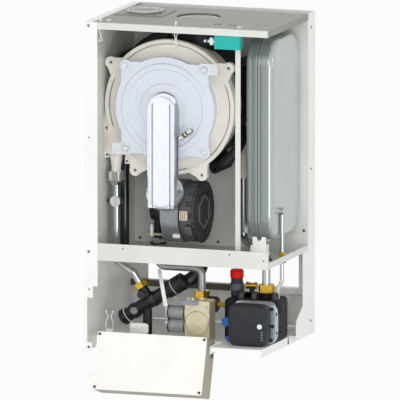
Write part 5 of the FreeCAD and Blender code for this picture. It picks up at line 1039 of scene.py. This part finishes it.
class BOILER_OT_trap_lid(bpy.types.Operator):
    """White lid that stands for the plain cup on the shelf: a stepped oval with a thin tongue"""
    bl_idname = "boiler.trap_lid"
    bl_label = "Trap lid"

    def execute(self, context):
        _, front, base = lowest("trap_cup")
        tall = highest("trap_cup")[2] - base
        x, y, _ = middle_of("trap_cup")
        profile = [(0, 0), (0.92, 0), (0.95, tall * 0.55), (1, tall * 0.6), (1, tall * 0.9), (0.9, tall),
                   (0, tall)]
        lid = lofted(profile, (x - 4, y - 2, base), UP, superellipse(20, 12.5, 2.6, 48))
        tongue = moulding((x + 10, front + 3.2, base + tall * 0.62), FRONT, 23, tall * 0.38, 4, 1.0, 5)
        # Waxy white plastic with a soft sheen
        white = finish("Polypropylene, moulded white", srgb("f6f7f5"), patch=18, spread=0.03, grain=1.3,
                       bump=0.04, rough=0.36)
        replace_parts(piece("trap_lid", [lid, tongue], white), "trap_cup")
        return {"FINISHED"}


class BOILER_OT_valve_fittings(bpy.types.Operator):
    """Corner screws of the gas valve, the bands, plates and sleeves of its coils, and their plug"""
    bl_idname = "boiler.valve_fittings"
    bl_label = "Valve fittings"

    def execute(self, context):
        left, face, _ = lowest("gas_valve") + (0, 6, 0)
        right = highest("gas_valve")[0]
        spots = (left + 8, -656), (right - 6, -648), (left + 6, -722), (right - 6, -722)
        # Bright zinc, so each head is a small light spot
        steel = finish("Steel, bright zinc", srgb("b9bcbb"), patch=4, spread=0.15, grain=0.8, bump=0.03,
                       rough=0.28, metallic=0.85)
        piece("valve_screws", [screw((x, face, z), FRONT, 3) for x, z in spots], steel)
        end, y = lowest("gas_solenoids")[0], middle_of("gas_solenoids")[1]
        coils = [(end, y, z) for z in (-667.5, -700.5)]
        bands = [band(12, 16.6, start, 2.6, at, RIGHT, 40) for at in coils for start in (-8, 33)]
        # Varnish leaves a low black gloss on the bands
        black = finish("Coil band, varnished", srgb("26272a"), patch=5, spread=0.2, grain=0.9,
                       bump=0.03, rough=0.34)
        piece("coil_bands", bands, black)
        plates = [moulding((x - 7, y, z), LEFT, 15, 15, 6, 0.8, 5) for x, y, z in coils]
        # Pressed and plated, pale with a cloudy shine
        plated = finish("Coil plate, zinc plated", srgb("c2c6c8"), patch=7, spread=0.1, grain=1.0,
                        bump=0.03, rough=0.3, metallic=0.6)
        piece("coil_plates", plates, plated)
        plug = [moulding((15, face + 0.5, -639.5), FRONT, 15, 4.5, 8, 1.0),
                moulding((-7, face + 2, -639.5), FRONT, 9, 3.6, 7, 0.8)]
        # Blue grey nylon with a low sheen
        nylon = finish("Coil plug, moulded", srgb("8f99ad"), patch=8, spread=0.08, grain=1.0, bump=0.04,
                       rough=0.4)
        piece("coil_plug", plug, nylon)
        sleeves = [rod(15.6, -2, 10, at, LEFT) for at in coils]
        # The coil's grey, a shade darker at this end
        grey = finish("Coil sleeve, moulded", srgb("8b8d8f"), patch=8, spread=0.08, grain=1.0,
                      bump=0.04, rough=0.4)
        piece("coil_sleeves", sleeves, grey)
        return {"FINISHED"}


class BOILER_OT_pump_face(bpy.types.Operator):
    """Rounded head that stands for the plain one: a superellipse, drawn in to a face with a pit"""
    bl_idname = "boiler.pump_face"
    bl_label = "Pump face"

    def execute(self, context):
        low, high, middle = lowest("pump_head"), highest("pump_head"), middle_of("pump_head")
        wide, deep, tall = high - low
        profile = [(0, 0), (0.97, 0), (1, 2), (1, deep * 0.62), (0.99, deep * 0.74), (0.96, deep * 0.88),
                   (0.92, deep * 0.96), (0.87, deep)]
        outline = superellipse(wide / 2, tall / 2, 6, 96)
        levels = [(share * outline, height) for share, height in profile]
        # The button slides in a round pit in the face
        key_low, key_high = lowest("pump_button"), highest("pump_button")
        centre = (middle_of("pump_button") - middle)[[0, 2]]
        reach = (key_high - key_low)[0] / 2 + 0.4
        floor = deep - (key_high[1] - low[1]) - 2.5
        pit = superellipse(reach, reach, count=len(outline)) + centre
        levels += [(pit, deep), (pit, floor), (0 * pit + centre, floor)]
        shape = stacked(levels, (middle[0], high[1], middle[2]), FRONT)
        # Spark texture scatters the light, so the head is an even charcoal
        head = finish("Polycarbonate head, spark textured", context.scene.boiler_colours.charcoal,
                      patch=20, spread=0.12, grain=1.2, bump=0.08, rough=0.5, Specular_IOR_Level=0.3)
        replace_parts(piece("pump_face", [shape], head), "pump_head")
        return {"FINISHED"}


class BOILER_OT_pump_flange(bpy.types.Operator):
    """Cast flange between the pump's head and motor: a superellipse with a stepped edge, and its bolts"""
    bl_idname = "boiler.pump_flange"
    bl_label = "Pump flange"

    def execute(self, context):
        x, _, z = middle_of("pump_motor") + (8.5, 0, 0)
        front = lowest("pump_motor")[1] + 2
        deep, half_wide, half_high = 22, 53, 49
        profile = [(0, 0), (0.97, 0), (1, 2), (1, 9), (0.975, 10), (0.975, 13), (1, 14), (1, deep - 2),
                   (0.97, deep), (0, deep)]
        cast = lofted(profile, (x, front + deep, z), FRONT, superellipse(half_wide, half_high, 5, 96))
        # Die cast alloy has a cool grey, softly clouded skin
        alloy = finish("Aluminium flange, die cast", srgb("a9b3c2"), patch=12, spread=0.14, grain=1.8,
                       bump=0.08, rough=0.36, metallic=0.6)
        piece("pump_flange", [cast], alloy)
        bolts = [disc((right, front, up), FRONT, 4.5, 2.5)
                 for right, up in ((221, -641), (223, -683), (219, -717))]
        bolts += [disc((x + half_wide, front + 9, up), RIGHT, 4, 0.6) for up in (-655, -700)]
        # Black oxide: dark heads on the grey casting
        black = finish("Steel bolts, blackened", srgb("17181a"), patch=5, spread=0.2, grain=0.8,
                       bump=0.03, rough=0.4)
        piece("pump_bolts", bolts, black)
        return {"FINISHED"}


class BOILER_OT_vessel_crease(bpy.types.Operator):
    """Pressed crease round the vessel's flat side: a thin bead along a superellipse, laid on the shell"""
    bl_idname = "boiler.vessel_crease"
    bl_label = "Vessel crease"

    def execute(self, context):
        c = context.scene.boiler_colours
        node, inset = "vessel_right_shell", 11
        low, high = lowest(node), highest(node)
        _, y, z = middle_of(node)
        _, half_deep, half_tall = (high - low) / 2 - inset
        path = [surface(node, (high[0] + 50, y + out, z + up), LEFT)
                for out, up in superellipse(half_deep, half_tall, 7, 160)]
        # The shell's own enamel, so only the bead's light and shade show
        enamel = finish("Stoved enamel, on the crease", c.vessel, patch=90, spread=0.05, grain=2.6,
                        bump=0.05, rough=0.2, metallic=0.25, Coat_Weight=0.3)
        piece("vessel_crease", [swept(path, 1.3, 1.3, count=10, loop=True)], enamel)
        return {"FINISHED"}


class BOILER_OT_pump_fittings(bpy.types.Operator):
    """Vent plug in the pump's face, the hooks, ribs and stubs of the water block, and its brass elbow"""
    bl_idname = "boiler.pump_fittings"
    bl_label = "Pump fittings"

    def execute(self, context):
        c = context.scene.boiler_colours
        x, _, z = middle_of("pump_head")
        recess = [(0, 0.4), (3.2, 0.4), (3.6, -0.3), (5.5, -0.3), (5.8, 0.8), (6.5, 0.6), (6.5, -0.5),
                  (0, -0.5)]
        dark = [turned(recess, (x, lowest("pump_head")[1], z), FRONT)]
        side = highest("water_block")[0]
        dark += [swept(arc(7, 90, -90, 9, (side, y, z)), 1.8, 1.8) for y, z in ((-230, -650), (-228, -700))]
        seat = -627
        dark += [moulding((x, -214, seat), UP, 3, 22, 12, 1.0) for x in (132, 141, 150)]
        stub = [(0, 0), (9, 0), (9, 14), (7, 17), (0, 17)]
        dark += [turned(stub, (x, y, seat), UP) for x, y in ((128, -238), (160, -236), (212, -236))]
        elbow_x, elbow_y = 124, -190
        dark.append(rod(6, 0, 20, (elbow_x + 14, elbow_y, seat), UP))
        # Plain black nylon with a low sheen
        black = finish("Nylon fittings, black", srgb("17181a"), patch=6, spread=0.2, grain=0.9,
                       bump=0.04, rough=0.38)
        piece("pump_fittings", dark, black)
        elbow = turned([(0, 0), (8.5, 0), (8.5, 7), (6.5, 8), (6.5, 20), (8.5, 21), (8.5, 26), (0, 26)],
                       (elbow_x, elbow_y, -603), RIGHT, 24)
        # Turned brass has a yellow shine in narrow bands
        brass = finish("Brass elbow, turned", c.brass, patch=6, spread=0.14, grain=0.9, bump=0.03,
                       rough=0.26, metallic=0.9)
        piece("brass_elbow", [elbow], brass)
        return {"FINISHED"}


class BOILER_OT_pump_lamps(bpy.types.Operator):
    """Column of four lamps in the pump's face, under its button"""
    bl_idname = "boiler.pump_lamps"
    bl_label = "Pump lamps"

    def execute(self, context):
        radius = context.scene.boiler_sizes.lamp / MM
        lens = np.array([(0, -0.2), (1, -0.2), (1, 0.2), (0.6, 0.7), (0, 0.8)]) * (radius, 1)
        x, z = highest("pump_head")[0] - 12, middle_of("pump_head")[2]
        lamps = [turned(lens, (x, lowest("pump_head")[1], z - drop), FRONT, 20)
                 for drop in (14, 20, 26, 32)]
        # Clear lenses that are off look grey and glossy
        clear = finish("Lamp lens, polycarbonate", srgb("8d918f"), patch=3, spread=0.05, grain=0.8,
                       bump=0.01, rough=0.2)
        piece("pump_lamps", lamps, clear)
        return {"FINISHED"}


class BOILER_OT_vent_collar(bpy.types.Operator):
    """Twelve-sided collar round the neck of the air vent"""
    bl_idname = "boiler.vent_collar"
    bl_label = "Vent collar"

    def execute(self, context):
        at = lowest("air_vent") + (14.5, 14.5, 0)
        # Grey plastic whose flats catch the light in turn
        grey = finish("Vent collar, moulded", srgb("4b4d4f"), patch=9, spread=0.12, grain=1.0,
                      bump=0.06, rough=0.45)
        piece("vent_collar", [band(14, 17.2, 14, 16, at, UP, 12)], grey)
        return {"FINISHED"}


class BOILER_OT_box_fittings(bpy.types.Operator):
    """Oval cable gland in the control box's side"""
    bl_idname = "boiler.box_fittings"
    bl_label = "Box fittings"

    def execute(self, context):
        profile = [(0, -0.5), (1, -0.5), (1, 0.8), (0.8, 1.4), (0.6, 1.2), (0.5, 0.3), (0, 0.3)]
        at = (highest("control_cover")[0], -308, -755)
        gland = lofted(profile, at, (1, -0.02, 0), superellipse(5.5, 10, 2.4))
        # Moulded rubber is dark and matt
        rubber = finish("Cable gland, rubber", srgb("2b2a28"), patch=6, spread=0.2, grain=0.9,
                        bump=0.05, rough=0.6)
        piece("box_gland", [gland], rubber, body="control_box")
        return {"FINISHED"}


# Stage

# Each lamp's name, place, size and power, and the point in the boiler that all of them face
LAMPS = (
    ("Key light", (1.15, -3.5, 0.35), 1.2, 21),
    ("Low light", (2.1, -2.4, -0.8), 1.4, 18),
    ("Fill light", (-1.6, -3.0, 0.4), 2.4, 8),
    ("Top light", (0.2, -0.6, 2.4), 2.0, 3),
)
LIT_POINT = (0, -0.175, -0.405)
STUDIO_STRENGTH = 0.67
# How far the floor lies below the boiler, in metres, and the share of its look that is plain white
FLOOR_DROP = 0.3
FLOOR_WHITE = 0.94


class BOILER_OT_stage(bpy.types.Operator):
    """Pale floor, soft studio light and the camera at the photograph's angle"""
    bl_idname = "boiler.stage"
    bl_label = "Stage"

    def execute(self, context):
        scene = context.scene
        scene.view_settings.view_transform = "Standard"
        self.floor(scene)
        self.world(scene)
        for lamp in LAMPS:
            self.lamp(scene, *lamp)
        self.camera(scene)
        return {"FINISHED"}

    def floor(self, scene):
        """A wide pale sheet below the boiler that shows as background and keeps its shadow."""
        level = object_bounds()[0][2] - FLOOR_DROP
        edges = ((-30, -60), (30, -60), (30, 60), (-30, 60))
        mesh = bpy.data.meshes.new("floor")
        mesh.from_pydata([(x, y, level) for x, y in edges], [], [(0, 1, 2, 3)])
        thing = bpy.data.objects.new("floor", mesh)
        scene.collection.objects.link(thing)
        made = bpy.data.materials.new("Pale floor")
        made.use_nodes = True
        tree = made.node_tree
        tree.nodes.clear()
        plain = add(tree, "ShaderNodeBsdfDiffuse", values={"Color": (0.85, 0.85, 0.85, 1)})
        glow = add(tree, "ShaderNodeEmission", values={"Color": (1, 1, 1, 1), "Strength": 1.0})
        share = add(tree, "ShaderNodeMath", {0: self.seen(tree)}, {1: FLOOR_WHITE}, operation="MULTIPLY")
        mix = add(tree, "ShaderNodeMixShader",
                  {"Fac": share.outputs[0], 1: plain.outputs[0], 2: glow.outputs[0]})
        add(tree, "ShaderNodeOutputMaterial", {"Surface": mix.outputs[0]})
        mesh.materials.append(made)
        thing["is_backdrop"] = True

    def seen(self, tree):
        """One for rays that show the background: to the camera, in metal and through glass."""
        ray = add(tree, "ShaderNodeLightPath")
        total = None
        for name in ("Is Camera Ray", "Is Glossy Ray", "Is Transmission Ray"):
            source = ray.outputs[name]
            total = source if total is None else add(
                tree, "ShaderNodeMath", {0: total, 1: source}, operation="MAXIMUM").outputs[0]
        return total

    def world(self, scene):
        """A studio that lights softly from all sides and shows as white."""
        scene.world = bpy.data.worlds.new("Studio")
        scene.world.use_nodes = True
        tree = scene.world.node_tree
        tree.nodes.clear()
        dim = add(tree, "ShaderNodeBackground",
                  values={"Color": (1, 1, 1, 1), "Strength": STUDIO_STRENGTH})
        white = add(tree, "ShaderNodeBackground", values={"Color": (1, 1, 1, 1), "Strength": 1.0})
        mix = add(tree, "ShaderNodeMixShader",
                  {"Fac": self.seen(tree), 1: dim.outputs[0], 2: white.outputs[0]})
        add(tree, "ShaderNodeOutputWorld", {"Surface": mix.outputs[0]})

    def lamp(self, scene, name, place, size, power):
        """A round soft lamp that points at the boiler's middle."""
        light = bpy.data.lights.new(name, "AREA")
        light.shape = "DISK"
        light.size = size
        light.energy = power
        thing = bpy.data.objects.new(name, light)
        thing.location = place
        towards = Vector(LIT_POINT) - Vector(place)
        thing.rotation_euler = towards.to_track_quat("-Z", "Y").to_euler()
        scene.collection.objects.link(thing)

    def camera(self, scene):
        """A very long lens from far away, because the photograph is almost a parallel projection."""
        lens = bpy.data.cameras.new("Camera")
        lens.sensor_width = 36
        lens.lens = 1400
        lens.clip_end = 200
        thing = bpy.data.objects.new("Camera", lens)
        target = Vector((0.0006, -0.175, -0.4054))
        away = Vector((0.3263, -0.9316, 0.1599)).normalized()
        distance = 37.3
        thing.location = target + away * distance
        thing.rotation_euler = (-away).to_track_quat("-Z", "Y").to_euler()
        scene.collection.objects.link(thing)
        scene.camera = thing


# Add-on

OPERATORS = (
    BOILER_OT_casing, BOILER_OT_chamber, BOILER_OT_exchanger, BOILER_OT_fan, BOILER_OT_vessel,
    BOILER_OT_pipes, BOILER_OT_gas_and_pump, BOILER_OT_control_box, BOILER_OT_panel_screws,
    BOILER_OT_sheet_holes, BOILER_OT_white_tabs, BOILER_OT_intake_trim, BOILER_OT_shell_seal,
    BOILER_OT_duct_trim, BOILER_OT_rear_bend, BOILER_OT_electrode_parts, BOILER_OT_fan_plugs,
    BOILER_OT_fan_rim, BOILER_OT_mixer_fittings, BOILER_OT_transformer_plugs, BOILER_OT_flow_fittings,
    BOILER_OT_manifold_trim, BOILER_OT_white_strap, BOILER_OT_trap_lid, BOILER_OT_valve_fittings,
    BOILER_OT_pump_face, BOILER_OT_pump_flange, BOILER_OT_vessel_crease, BOILER_OT_pump_fittings,
    BOILER_OT_pump_lamps, BOILER_OT_vent_collar, BOILER_OT_box_fittings, BOILER_OT_stage,
)


class BOILER_PT_looks(bpy.types.Panel):
    """Lists the boiler's pieces and finishes"""
    bl_idname = "BOILER_PT_looks"
    bl_label = "Boiler"
    bl_space_type = "VIEW_3D"
    bl_region_type = "UI"
    bl_category = "Boiler"

    def draw(self, context):
        for kind in OPERATORS:
            self.layout.operator(kind.bl_idname)
        for group in (context.scene.boiler_colours, context.scene.boiler_sizes):
            for name in group.__annotations__:
                self.layout.prop(group, name)


CLASSES = (BoilerColours, BoilerSizes, *OPERATORS, BOILER_PT_looks)


def register():
    for kind in CLASSES:
        bpy.utils.register_class(kind)
    bpy.types.Scene.boiler_colours = PointerProperty(type=BoilerColours)
    bpy.types.Scene.boiler_sizes = PointerProperty(type=BoilerSizes)


def unregister():
    del bpy.types.Scene.boiler_sizes
    del bpy.types.Scene.boiler_colours
    for kind in reversed(CLASSES):
        bpy.utils.unregister_class(kind)


def main():
    register()
    for kind in OPERATORS:
        getattr(bpy.ops.boiler, kind.bl_idname.split(".")[1])()


if __name__ == "__main__":
    main()
